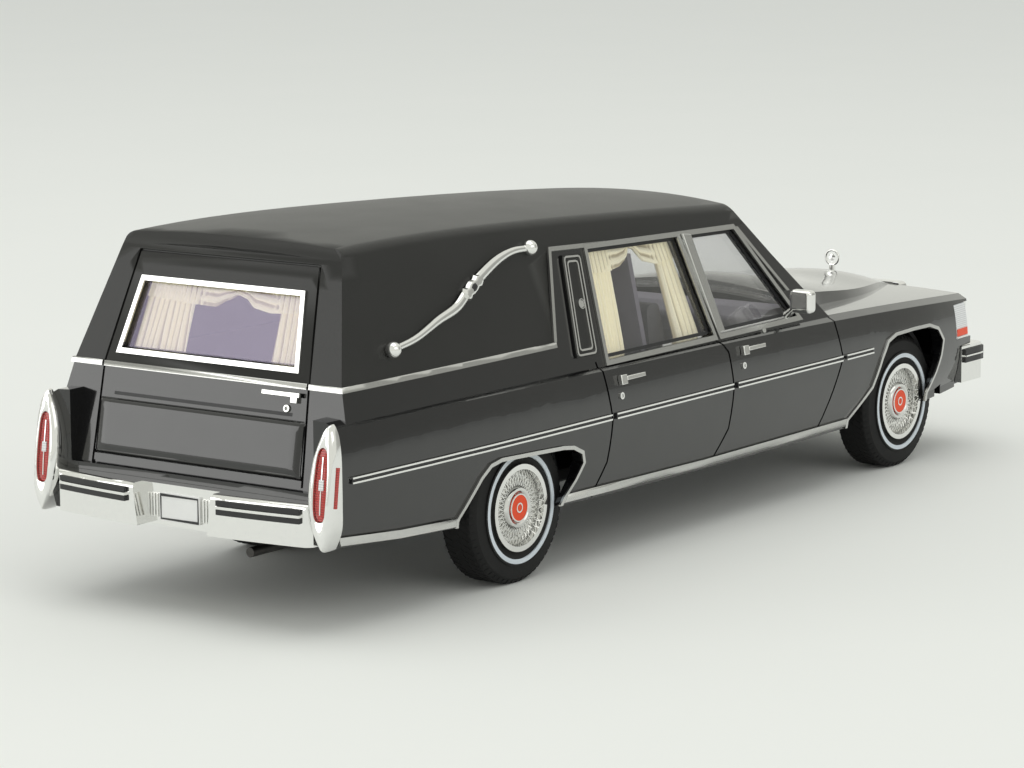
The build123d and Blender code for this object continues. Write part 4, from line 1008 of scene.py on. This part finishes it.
shell_outline = [(row[2], row[0]) for row in shell_rows] + [(row[3], row[0]) for row in reversed(shell_rows)]
shell_loop = rounded_loop(shell_outline, loop_count)
lens_loop = rounded_loop(lens_points, loop_count)
print("tail lamps:", loop_count, "points a loop")

# %% [markdown]
# ## Tail lamps
#
# The shell is its loop repeated at different depths: at the joint with the
# wing, near the back, drawn in twice for a round edge, at the lens opening, and
# at the floor of the pocket. The lens is made in the same way. A marker on the
# outer side, a bright rib and a clear window are short bars.

# %% Shells and lenses
def back_at(z):
    """How far back the shell reaches at a height."""
    rows = [(row[0], row[1]) for row in shell_rows]
    z = min(max(z, rows[0][0]), rows[-1][0])
    for (a, low), (b, high) in zip(rows, rows[1:]):
        if z <= b:
            return low + (high - low) * (z - a) / (b - a)
    return rows[-1][1]


def behind(depth):
    """A place along the car that is a depth ahead of the shell's back."""
    return lambda z: back_at(z) + depth


def drawn_in(loop, across, up):
    """A loop made smaller about its middle."""
    middle = sum(loop, Vector((0, 0))) / len(loop)
    return [Vector((middle.x + (p.x - middle.x) * across, middle.y + (p.y - middle.y) * up)) for p in loop]


def add_loops(mesh, loops, side):
    """Joins loops into a closed form, each with the places along the car that it takes."""
    rings = [[mesh.verts.new((x_of(p.y), side * p.x, p.y)) for p in loop] for loop, x_of in loops]
    join_loops(mesh, rings)
    for ring in (rings[0], rings[-1]):
        last = len(ring) - 1
        for i in range(len(ring) // 2 - 1):
            mesh.faces.new((ring[i], ring[i + 1], ring[last - i - 1], ring[last - i]))


shells, lenses, lamp_lines, lamp_windows = [bmesh.new() for _ in range(4)]
for side in (-1, 1):
    add_loops(shells, [
        (shell_loop, lambda z: shell_front), (shell_loop, behind(0.75)),
        (drawn_in(shell_loop, 0.93, 0.985), behind(0.30)), (drawn_in(shell_loop, 0.80, 0.96), behind(0.06)),
        (drawn_in(lens_loop, 1.12, 1.03), behind(0.0)), (lens_loop, behind(0.06)),
        (lens_loop, behind(0.85))], side)
    add_loops(lenses, [
        (drawn_in(lens_loop, 0.97, 0.995), behind(0.80)), (drawn_in(lens_loop, 0.97, 0.995), behind(0.42)),
        (drawn_in(lens_loop, 0.80, 0.975), behind(0.32))], side)
    # Columns: mesh, depth, distance across, heights, width, thickness, way out
    for mesh, depth, across, heights, wide, thick, way in (
            (lenses, 1.05, 21.24, (14.5, 16.0, 17.5, 18.8), 0.40, 0.14, (0, side, 0)),
            (lamp_lines, 0.34, 19.83, (13.8, 15.5, 17.0, 18.5, 19.9), 0.13, 0.14, (-1, 0, 0)),
            (lamp_windows, 0.31, 19.83, (16.4, 17.5), 0.62, 0.12, (-1, 0, 0))):
        path = [Vector((back_at(z) + depth, side * across, z)) for z in heights]
        add_bar(mesh, path, wide, thick, Vector(way))
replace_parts(finished("tail_lamp_shells", shells, "chrome", smooth=50), "tail_lamp_bezels")
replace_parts(finished("tail_lamp_red_lenses", lenses, "red_lens"), "tail_lamp_lenses")
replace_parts(finished("tail_lamp_ribs", lamp_lines, "chrome"), "tail_lamp_lenses")
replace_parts(finished("tail_lamp_windows", lamp_windows, "lamp_lens"), "tail_lamp_lenses")
print("shell depth:", round(shell_front - back_at(moulding_z), 2), "mm")

# %% [markdown]
# ## Bumper strips
#
# The chromed bumpers carry a double black strip with a bright line between
# them. The rear ones lie on the tail, and the front ones run round the corners,
# so rays find them from the side and from ahead.

# %% Bumper strips
# Columns: height, width, thickness, bright or black
rear_bands = [(12.83, 0.62, 0.38, False), (13.32, 0.30, 0.44, True), (13.81, 0.62, 0.38, False)]
front_bands = [(12.35, 0.80, 0.34, False), (12.86, 0.20, 0.42, True), (13.37, 0.80, 0.34, False)]
# Where a rear strip starts beside the middle, and its length
rear_start, rear_length = 6.5, 10.6
# Where a front strip starts along the car, its length, and its half width ahead
flank_start, flank_length, nose_half = 64.3, 5.8, 19.6
strips, strip_lines = bmesh.new(), bmesh.new()
for side in (-1, 1):
    for z, wide, thick, bright in rear_bands:
        spots = [(side * (rear_start + rear_length * i / 8), z) for i in range(9)]
        path, normals = tail_path("rear_bumper", spots)
        add_bar(strip_lines if bright else strips, path, wide, thick, normals)
    for z, wide, thick, bright in front_bands:
        flank = [(flank_start + flank_length * i / 6, side * far_side, z) for i in range(7)]
        nose = [(far_end, side * nose_half * i / 10, z) for i in range(11)]
        for starts, way in ((flank, (0, -side, 0)), (nose, (-1, 0, 0))):
            path, normals = ray_path("front_bumper", starts, way)
            add_bar(strip_lines if bright else strips, path, wide, thick, normals)
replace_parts(finished("bumper_double_strips", strips, "black_strip", bevel=0.06), "bumper_strips")
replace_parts(finished("bumper_bright_lines", strip_lines, "chrome"), "bumper_strips")
print("bumper bands:", len(rear_bands), "behind and", len(front_bands), "ahead")

# %% [markdown]
# ## Bumper pads and plate border
#
# Between the plate and the raised ends of the rear bumper sit two ribbed pads.
# The plate stays blank, with a thin dark border.

# %% Pads and border
pad_ribs, pad_start, pad_pitch = 4, 3.30, 0.42
pads = bmesh.new()
for side in (-1, 1):
    for i in range(pad_ribs):
        y = side * (pad_start + pad_pitch * i)
        path, normals = tail_path("rear_bumper", [(y, z) for z in (10.9, 12.2, 13.5)])
        add_bar(pads, path, 0.26, 0.24, normals)
finished("bumper_pads", pads, "chrome", bevel=0.05)

plate_low, plate_high = [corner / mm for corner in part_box("licence_plate")]
border = bmesh.new()
edge = 0.24
frame_path = [Vector((plate_low.x - 0.001, y, z)) for y, z in (
    (plate_low.y + edge, plate_low.z + edge), (plate_high.y - edge, plate_low.z + edge),
    (plate_high.y - edge, plate_high.z - edge), (plate_low.y + edge, plate_high.z - edge))]
add_bar(border, frame_path, 0.16, 0.06, Vector((-1, 0, 0)), closed=True)
finished("plate_border", border, "black_strip")
print("plate:", [round(v, 2) for v in plate_low], [round(v, 2) for v in plate_high])

# %% [markdown]
# ## Door handles and locks
#
# The doors have pull bars that stand out of a square block, with a round lock
# below. Blocks, bars and end posts are short bars on the side, and a lock is
# two flat rings. The round cap behind the front wheel is made like a lock.

# %% Door handles
handle_starts = (-18.77, 7.64)
# Columns: runs along the handle, height, width, thickness, lift
handle_parts = [((0.1, 1.3), 21.0, 1.15, 0.62, 0.0), ((1.2, 3.0, 5.0), 21.1, 0.50, 0.36, 0.30),
                ((4.5, 5.0), 21.1, 0.50, 0.40, 0.0)]
lock_run, lock_z = 0.40, 19.2
cap_spot = (14.38, 22.63)


def ring_on(mesh, point, normal, outer, inner, thick, segments=24):
    """A flat ring that stands on a face."""
    turn = Vector((0, 0, 1)).rotation_difference(normal)
    loops = []
    for i in range(segments):
        angle = 2 * math.pi * i / segments
        way = Vector((math.cos(angle), math.sin(angle), 0))
        loops.append([mesh.verts.new(point + turn @ (way * r + Vector((0, 0, rise))))
                      for r, rise in ((inner, 0.0), (inner, thick), (outer, thick), (outer, 0.0))])
    join_loops(mesh, loops, closed=True)


def add_lock(mesh, point, normal):
    """A lock's rim and its barrel."""
    ring_on(mesh, point, normal, 0.42, 0.20, 0.22)
    ring_on(mesh, point, normal, 0.15, 0.05, 0.16)


handle_bars, locks = bmesh.new(), bmesh.new()
for side in (-1, 1):
    for start in handle_starts:
        for runs, z, wide, thick, lift in handle_parts:
            path, normals = laid_points([(start + run, z) for run in runs], side, shell, lift)
            add_bar(handle_bars, path, wide, thick, normals)
        path, normals = laid_points([(start + lock_run, lock_z)], side, shell)
        add_lock(locks, path[0], normals[0])
    path, normals = laid_points([cap_spot], side, shell)
    ring_on(locks, path[0], normals[0], 0.40, 0.05, 0.20)
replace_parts(finished("door_pull_handles", handle_bars, "chrome", bevel=0.08), "door_handles")
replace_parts(finished("door_locks", locks, "chrome"), "door_handles")
print("door handles:", 2 * len(handle_starts))

# %% [markdown]
# ## The rear door's handle
#
# The rear door has a lying pull bar on two posts, with its lock under the wider
# one. It is made as the side handles are, but laid on the tail.

# %% Rear handle
tail_handle = bmesh.new()
spots, normals = tail_path("body_shell", [(y, 25.25) for y in (-8.7, -11.0, -13.9)])
add_bar(tail_handle, [p + n * 0.30 for p, n in zip(spots, normals)], 0.50, 0.35, normals)
for y, low, high, wide in ((-13.0, 24.4, 25.45, 0.90), (-9.0, 25.0, 25.5, 0.4)):
    path, normals = tail_path("body_shell", [(y, low), (y, high)])
    add_bar(tail_handle, path, wide, 0.42, normals)
path, normals = tail_path("body_shell", [(-11.95, 23.75)])
add_lock(tail_handle, path[0], normals[0])
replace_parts(finished("rear_door_handle", tail_handle, "chrome", bevel=0.06), "rear_handle")
print("rear handle at", [round(v, 1) for v in spots[0]])

# %% [markdown]
# ## The rear door
#
# The lower half of the rear door is a wide panel that is pressed outwards, with
# a channel above it whose shade is painted as a thin black strip. The panel is a
# grid of points laid on the tail and lifted, with its rim turned back to the metal.

# %% Pressed panel and channel
panel_low, panel_high = (-14.8, 16.4), (14.8, 22.6)
panel_lift, panel_rim = 0.42, 0.7
panel_across, panel_up = 24, 8
channel_z = 23.15


def graded(low, high, count):
    """Places from low to high, closer together in the rims."""
    inner = [low + panel_rim + (high - low - 2 * panel_rim) * i / count for i in range(count + 1)]
    return [low, low + panel_rim / 2] + inner + [high - panel_rim / 2, high]


def rise(i, count):
    """The share of the lift at a row of the grid."""
    return (0.0, 0.72, 1.0)[min(i, count - 1 - i, 2)]


def rim_of(rows):
    """The outer points of a grid, in their order round it."""
    return rows[0] + [row[-1] for row in rows[1:]] + rows[-1][-2::-1] + [row[0] for row in rows[-2:0:-1]]


def add_pressing(mesh):
    """A panel pressed out of the tail."""
    def spot(y, z, lift):
        point, normal = hit("body_shell", (-far_end, y, z), (1, 0, 0))
        return mesh.verts.new(point + (normal if normal.x < 0 else -normal) * lift)
    ys = graded(panel_low[0], panel_high[0], panel_across)
    zs = graded(panel_low[1], panel_high[1], panel_up)
    front = [[spot(y, z, 0.02 + panel_lift * min(rise(i, len(zs)), rise(j, len(ys))))
              for j, y in enumerate(ys)] for i, z in enumerate(zs)]
    back = [[spot(y, z, -0.15) for y in ys] for z in zs]
    for rows, way in ((front, 1), (back, -1)):
        for row, after in zip(rows, rows[1:]):
            for j in range(len(row) - 1):
                mesh.faces.new((row[j], row[j + 1], after[j + 1], after[j])[::way])
    front, back = rim_of(front), rim_of(back)
    for i in range(len(front)):
        j = (i + 1) % len(front)
        mesh.faces.new((front[i], back[i], back[j], front[j]))


pressing, channel_shade = bmesh.new(), bmesh.new()
add_pressing(pressing)
finished("rear_door_pressing", pressing, "gloss_black_paint", smooth=70)
wide = panel_high[0] - panel_low[0]
# Painted shade: a thin matte black strip lies in the channel, where the groove is in shade
path, normals = tail_path("body_shell", [(panel_low[0] + wide * i / 12, channel_z) for i in range(13)])
add_bar(channel_shade, path, 0.38, 0.05, normals)
finished("rear_door_channel_shade", channel_shade, "black_strip")
print("pressing:", wide, "mm wide")

# %% [markdown]
# ## Landau bars
#
# The S-shaped bars on the coach's sides are cast as one piece with a ball at
# each end and a block in the middle. A rod with a changing thickness is drawn
# by a row of small rounds along a smooth path, and the path is a curve through
# a few points that rays lay on the coach.

# %% Landau bars
# Columns: place along the car, height
landau_points = [(-57.41, 29.31), (-53.17, 30.01), (-48.79, 31.36), (-45.2, 32.3), (-42.9, 33.5),
                 (-40.55, 34.67), (-37.18, 36.07), (-34.71, 36.83), (-32.35, 37.21), (-29.48, 37.18)]
coach_nodes = ["vinyl_roof", "body_shell"]
block_widths = [0.55, 0.85, 0.62, 0.78, 0.80, 0.78, 0.62, 0.85, 0.55]
ball_radius = 0.92


def open_curve(points, pieces):
    """A smooth open curve through points, with a number of pieces between each two."""
    points = [Vector(point) for point in points]
    ends = [2 * points[0] - points[1]] + points + [2 * points[-1] - points[-2]]
    curve = [curve_point(ends[k:k + 4], i / pieces) for k in range(len(points) - 1) for i in range(pieces)]
    return curve + [ends[-2]]


def add_rod(mesh, path, normals, lift, sizes, sides=12):
    """A rod of oval rounds (half width, half height) along a path that is lifted."""
    path = [point + normal * lift for point, normal in zip(path, normals)]
    loops = []
    for i, (point, normal, (wide, tall)) in enumerate(zip(path, normals, sizes)):
        along = (path[min(i + 1, len(path) - 1)] - path[max(i - 1, 0)]).normalized()
        across = normal.cross(along).normalized()
        loops.append([mesh.verts.new(point + across * wide * math.cos(2 * math.pi * j / sides)
                                     + normal * tall * math.sin(2 * math.pi * j / sides))
                      for j in range(sides)])
    join_loops(mesh, loops)
    close_ends(mesh, loops)


landau, landau_ovals = bmesh.new(), bmesh.new()
curve = open_curve(landau_points, 6)
for side in (-1, 1):
    path, normals = laid_points([tuple(p) for p in curve], side, coach_nodes)
    count = len(path) - 1
    sizes = [(0.40 + 0.22 * math.sin(math.pi * i / count) ** 2, 0.34) for i in range(count + 1)]
    add_rod(landau, path, normals, 0.42, sizes)
    for end in (0, -1):
        ball = Matrix.Translation(path[end] + normals[end] * 0.50)
        bmesh.ops.create_uvsphere(landau, u_segments=20, v_segments=12, radius=ball_radius, matrix=ball)
    middle = count // 2
    block = slice(middle - 4, middle + 5)
    add_rod(landau, path[block], normals[block], 0.50, [(wide, 0.58) for wide in block_widths], 8)
    oval = slice(middle - 1, middle + 2)
    add_rod(landau_ovals, path[oval], normals[oval], 0.98, [(0.30, 0.12), (0.42, 0.16), (0.30, 0.12)])
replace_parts(finished("landau_bar_rods", landau, "chrome"), "landau_bars")
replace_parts(finished("landau_bar_ovals", landau_ovals, "black_strip"), "landau_bars")
print("landau bars:", len(curve), "points")

# %% [markdown]
# ## Belt line and sill bands
#
# A thin bright line runs round the coach where the padded roof meets the
# metal, and ends at the surround of the side windows. Another band runs along
# the sill and stops at the front wheel. Both are copies of the CAD trims, which
# go on further: one is cut off by a plane, and the other loses the points ahead
# of the wheel.

# %% Belt and sill
belt_end = -28.4
last_sill = 50.0


def copy_of(node):
    """A bmesh in millimetres with a CAD node's faces."""
    copy = bmesh.new()
    copy.from_mesh(nodes[node].data)
    bmesh.ops.scale(copy, vec=(1 / mm, 1 / mm, 1 / mm), verts=copy.verts)
    bmesh.ops.remove_doubles(copy, verts=copy.verts, dist=1e-4)
    return copy


def all_of(mesh):
    return mesh.verts[:] + mesh.edges[:] + mesh.faces[:]


belt = copy_of("belt_trim")
bmesh.ops.bisect_plane(belt, geom=all_of(belt), plane_co=(belt_end, 0, 0), plane_no=(1, 0, 0), clear_outer=True)
bmesh.ops.holes_fill(belt, edges=[edge for edge in belt.edges if edge.is_boundary])
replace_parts(finished("belt_line", belt, "chrome", finish=finishes["satin_trim"]), "belt_trim")

sills = copy_of("rocker_mouldings")
bmesh.ops.delete(sills, geom=[v for v in sills.verts if v.co.x >= last_sill], context="VERTS")
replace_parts(finished("sill_bands", sills, "chrome", finish=finishes["satin_trim"]), "rocker_mouldings")
print("belt ends at", belt_end, "and the sills at", last_sill, "mm")

# %% [markdown]
# ## Quarter panels
#
# Behind the rear door, a black panel stands in the surround with two fine
# bright lines round it and a small round medallion, which stays bare. A line
# follows the panel's corners from inside, with each corner cut off.

# %% Quarter lines and medallions
quarter_corners = [(-23.52, 35.74), (-20.18, 35.56), (-21.42, 24.40), (-25.27, 24.46)]
quarter_nodes = ["quarter_trims", "vinyl_roof", "body_shell"]
medallion_spot = (-22.15, 30.15)


def inset_loop(corners, inset, step, trim):
    """A closed polyline a distance inside its corners, with each corner cut off."""
    corners = [Vector(corner) for corner in corners]
    rounded = []
    for i, corner in enumerate(corners):
        before = (corners[i - 1] - corner).normalized()
        after = (corners[(i + 1) % len(corners)] - corner).normalized()
        half = (before + after).normalized()
        spot = corner + half * inset / max(0.2, abs(half.cross(before)))
        rounded += [tuple(spot + way * trim) for way in (before, (before + after) * 0.3, after)]
    return between_points(rounded + [rounded[0]], step)[:-1]


quarter_lines = bmesh.new()
for side in (-1, 1):
    for inset, lift in ((0.15, 0.24), (0.68, 0.20)):
        path, normals = laid_points(inset_loop(quarter_corners, inset, 1.5, 0.35), side, quarter_nodes)
        add_bar(quarter_lines, path, 0.22, lift, normals, closed=True)
    path, normals = laid_points([medallion_spot], side, quarter_nodes)
    ring_on(quarter_lines, path[0], normals[0], 0.62, 0.50, 0.26)
    ring_on(quarter_lines, path[0], normals[0], 0.44, 0.02, 0.18)
finished("quarter_panel_lines", quarter_lines, "chrome")
print("quarter panels: two lines and a bare medallion each")

# %% [markdown]
# ## Gaskets and posts of the side windows
#
# Each side pane sits in a black rubber gasket, which is a closed bar laid on
# the pane. A broad bright cover hides the post between the two side windows. It
# is a flat block that leans with the coach's side.

# %% Gaskets and post covers
# A pane's node and its corners: place along the car, height
pane_corners = {
    "rear_side_glass": [(-19.21, 23.45), (-18.19, 36.0), (0.73, 35.43), (3.13, 23.45)],
    "front_side_glass": [(4.80, 23.45), (1.60, 35.41), (13.60, 35.05), (22.48, 23.45)]}
post_corners = [(1.55, 35.75), (3.30, 35.55), (5.85, 23.75), (4.25, 23.55)]
post_depths = (0.05, 0.42)
# The coach's side above the belt: its distance out at a height
belt_out, belt_height = 19.4, 26.35
gaskets, posts = bmesh.new(), bmesh.new()
for side in (-1, 1):
    for node, corners in pane_corners.items():
        path, normals = laid_points(inset_loop(corners, 0.32, 2.0, 0.3), side, [node])
        add_bar(gaskets, path, 0.42, 0.10, normals, closed=True)
    loops = [[posts.verts.new((x, side * (belt_out - side_lean * (z - belt_height) + depth), z))
              for x, z in post_corners] for depth in post_depths]
    join_loops(posts, loops)
    close_ends(posts, loops)
finished("window_gaskets", gaskets, "black_strip")
finished("door_post_covers", posts, "chrome", bevel=0.10, finish=finishes["satin_trim"])
print("gaskets:", 2 * len(pane_corners))

# %% [markdown]
# ## Parts of a wheel
#
# The wheels wear wire covers: a dish with a bead round it, a raised ring, and
# fine wires that cross between the two. The rounds are turned on the axle from
# profiles. The wires are short bars that lean alternately to the left and
# right. The tyre has blocks on its shoulder and three rows across its tread,
# which rays seat on the CAD tyre.

# %% Wires and tread
wire_count, wire_lean = 40, 0.20
wire_wide, wire_thick = 0.085, 0.09
# Columns: radius, distance out, share of the lean
wire_points = [(2.50, 19.50, 0.0), (3.45, 19.52, 0.5), (4.38, 19.30, 1.0)]
# Columns: distance out, how far the block leans outwards there
shoulder_points = [(19.05, 0.15), (19.45, 0.45), (19.72, 0.9)]
# Columns: where a row of tread blocks starts and ends across the tyre, and its lean in radians
tread_rows = [(15.6, 16.5, 0.03), (16.8, 17.7, -0.03), (18.0, 18.85, 0.03)]
tread_count = 60
# Columns: a block's width, its thickness, and how deep it is sunk in the tyre
shoulder_size = (0.46, 0.15, 0.08)
tread_size = (0.52, 0.10, 0.05)


def turned(profile, side):
    """A profile of (radius, run) points for the wheel on one side."""
    return [(r, side * run) for r, run in profile]


def add_wires(mesh, x, z, side):
    for i in range(wire_count):
        for lean in (-wire_lean, wire_lean):
            first = 2 * math.pi * i / wire_count
            path = []
            for r, out, share in wire_points:
                angle = first + lean * share
                path.append(Vector((x + r * math.cos(angle), side * out, z + r * math.sin(angle))))
            add_bar(mesh, path, wire_wide, wire_thick, Vector((0, side, 0)))


def on_tyre(end, x, z, angle, y):
    """Where a ray towards the axle meets the tyre, and the way outwards."""
    way = Vector((math.cos(angle), 0, math.sin(angle)))
    return hit(end + "_tyres", Vector((x, 0, z)) + way * 20 + Vector((0, y, 0)), -way)[0], way


def add_shoulder(mesh, end, x, z, side):
    wide, thick, sink = shoulder_size
    for i in range(tread_count):
        angle = 2 * math.pi * (i + 0.5 * (side > 0)) / tread_count
        spots, outs = [], []
        for out, lean in shoulder_points:
            spot, way = on_tyre(end, x, z, angle, side * out)
            spots.append(spot)
            outs.append((way * 0.8 + Vector((0, side * lean, 0))).normalized())
        if None not in spots:
            add_bar(mesh, [p - n * sink for p, n in zip(spots, outs)], wide, thick, outs)


def add_tread(mesh, end, x, z, side):
    wide, thick, sink = tread_size
    for row, (low, high, lean) in enumerate(tread_rows):
        for i in range(tread_count):
            angle = 2 * math.pi * (i + 0.5 * (row % 2)) / tread_count
            (first, way), (last, other) = [on_tyre(end, x, z, angle + turn, side * out)
                                           for turn, out in ((-lean, low), (lean, high))]
            if first is not None and last is not None:
                add_bar(mesh, [first - way * sink, last - other * sink], wide, thick, [way, other])


print("wires:", 2 * wire_count, "a wheel")

# %% [markdown]
# ## Wheels
#
# One loop dresses both axles. A thin black line trims the white band, and two
# bright rings lie round the red centre. All of it rides on its own wheelset, so
# that it turns with the wheel.

# %% Wheel covers, bands and tread
axle_places = {"front": (0.04945 / mm, 8.7), "rear": (-0.03595 / mm, 8.7)}
# Profiles: radius, distance out
cover_rim = [(4.30, 18.98), (4.30, 19.35), (4.45, 19.62), (4.66, 19.68), (4.86, 19.55), (4.90, 19.2),
             (4.90, 18.98)]
cover_ring = [(1.72, 19.0), (1.72, 19.75), (1.95, 19.92), (2.25, 19.90), (2.50, 19.62), (2.58, 19.1),
              (2.58, 19.0)]
cover_dish = [(1.2, 18.95), (1.2, 19.10), (2.6, 19.14), (4.4, 19.05), (4.4, 18.95)]
hub_band = [(1.48, 19.88), (1.48, 19.985), (1.62, 19.985), (1.62, 19.88)]
hub_ring = [(0.42, 19.88), (0.42, 20.0), (0.58, 20.0), (0.58, 19.88)]
band_edge = [(6.38, 20.12), (6.38, 20.225), (6.64, 20.225), (6.64, 20.02)]

for end, (x, z) in axle_places.items():
    body = end + "_wheelset"
    covers, wires, bands, blocks, rings = [bmesh.new() for _ in range(5)]
    for side in (-1, 1):
        for mesh, profile, segments in (
                (covers, cover_rim, 72), (covers, cover_ring, 72), (covers, cover_dish, 72),
                (bands, band_edge, 96), (rings, hub_band, 48), (rings, hub_ring, 48)):
            add_ring(mesh, turned(profile, side), (x, 0, z), segments=segments)
        add_wires(wires, x, z, side)
        add_shoulder(blocks, end, x, z, side)
        add_tread(blocks, end, x, z, side)
    dishes = finished(end + "_wire_cover_dishes", covers, "chrome", body, finish=finishes["dish_chrome"])
    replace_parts(dishes, end + "_wheel_covers")
    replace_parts(finished(end + "_wire_cover_wires", wires, "chrome", body), end + "_wheel_covers")
    finished(end + "_hub_rings", rings, "chrome", body)
    finished(end + "_white_band_edges", bands, "tyre_black", body)
    finished(end + "_shoulder_blocks", blocks, "tyre_black", body)
print("wheels:", 2 * len(axle_places))

# %% [markdown]
# ## The coach roof without a lip
#
# The padded roof ends flush with the tail, so the solid's small overhang at the
# back is drawn in. The piece is a copy of the CAD roof whose points above the
# rear window are moved forwards to the tail's own plane. Two level cuts come
# first, so that the long faces below them keep their shape.

# %% Flush roof
tail_foot, tail_top = (-66.35, 26.5), (-61.9, 38.8)
tail_slope = (tail_top[0] - tail_foot[0]) / (tail_top[1] - tail_foot[1])
tail_gap = 0.02
lip_bottom = 36.2
roof = copy_of("vinyl_roof")
for height in (36.0, 37.0):
    bmesh.ops.bisect_plane(roof, geom=all_of(roof), plane_co=(0, 0, height), plane_no=(0, 0, 1))
drawn = 0
for point in roof.verts:
    plane = tail_foot[0] + tail_slope * (point.co.z - tail_foot[1]) - tail_gap
    if point.co.z > lip_bottom and point.co.x < plane:
        point.co.x = plane
        drawn += 1
bmesh.ops.dissolve_degenerate(roof, dist=1e-3, edges=roof.edges[:])
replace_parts(finished("coach_roof", roof, "matte_black_vinyl", smooth=32), "vinyl_roof")
print("roof points drawn in:", drawn)

# %% [markdown]
# ## Lamps at the nose
#
# The corner lamps are clear blocks with upright ribs moulded in. The lowest
# part of each is orange-red with a bright line under it, so a band and a line
# are laid round its outer face.

# %% Corner lamp bands
corner_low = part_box("side_lamps")[0] / mm
# Where a band starts ahead of the lamp's rear edge, and its length
band_start, band_length = 0.15, 3.2
bands, lines = bmesh.new(), bmesh.new()
for side in (-1, 1):
    for mesh, z, wide, thick in ((bands, 16.2, 0.95, 0.10), (lines, 15.55, 0.22, 0.14)):
        starts = [(corner_low.x + band_start + (band_length * i / 5), side * far_side, z) for i in range(6)]
        path, normals = ray_path("side_lamps", starts, (0, -side, 0))
        add_bar(mesh, path, wide, thick, normals)
finished("corner_lamp_red_bands", bands, "red_lens", finish=finishes["centre_red"])
finished("corner_lamp_lines", lines, "chrome")
print("corner lamps:", [round(v, 2) for v in corner_low])

# %% [markdown]
# ## The hood ornament's disc
#
# The upright ring on the hood holds a small disc on a stalk. It stays bare, so
# a turned disc and one short bar are enough.

# %% Ornament disc
ornament_low, ornament_high = [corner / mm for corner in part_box("hood_ornament")]
disc_drop, stalk_top, stalk_foot = 1.16, 0.35, 1.05
disc_profile = [(0.02, -0.12), (0.02, 0.12), (0.46, 0.08), (0.46, -0.08)]
disc = bmesh.new()
disc_middle = Vector(((ornament_low.x + ornament_high.x) / 2, 0, ornament_high.z - disc_drop))
add_ring(disc, disc_profile, disc_middle, axis="X", segments=24)
stalk = [disc_middle - Vector((0, 0, drop)) for drop in (stalk_top, stalk_foot)]
add_bar(disc, stalk, 0.12, 0.12, Vector((1, 0, 0)))
finished("ornament_disc", disc, "chrome")
print("ornament disc at", [round(v, 1) for v in disc_middle])

# %% [markdown]
# ## The end
#
# The last cell only prints that the scene is dressed.

# %% The end
print("the scene is dressed")
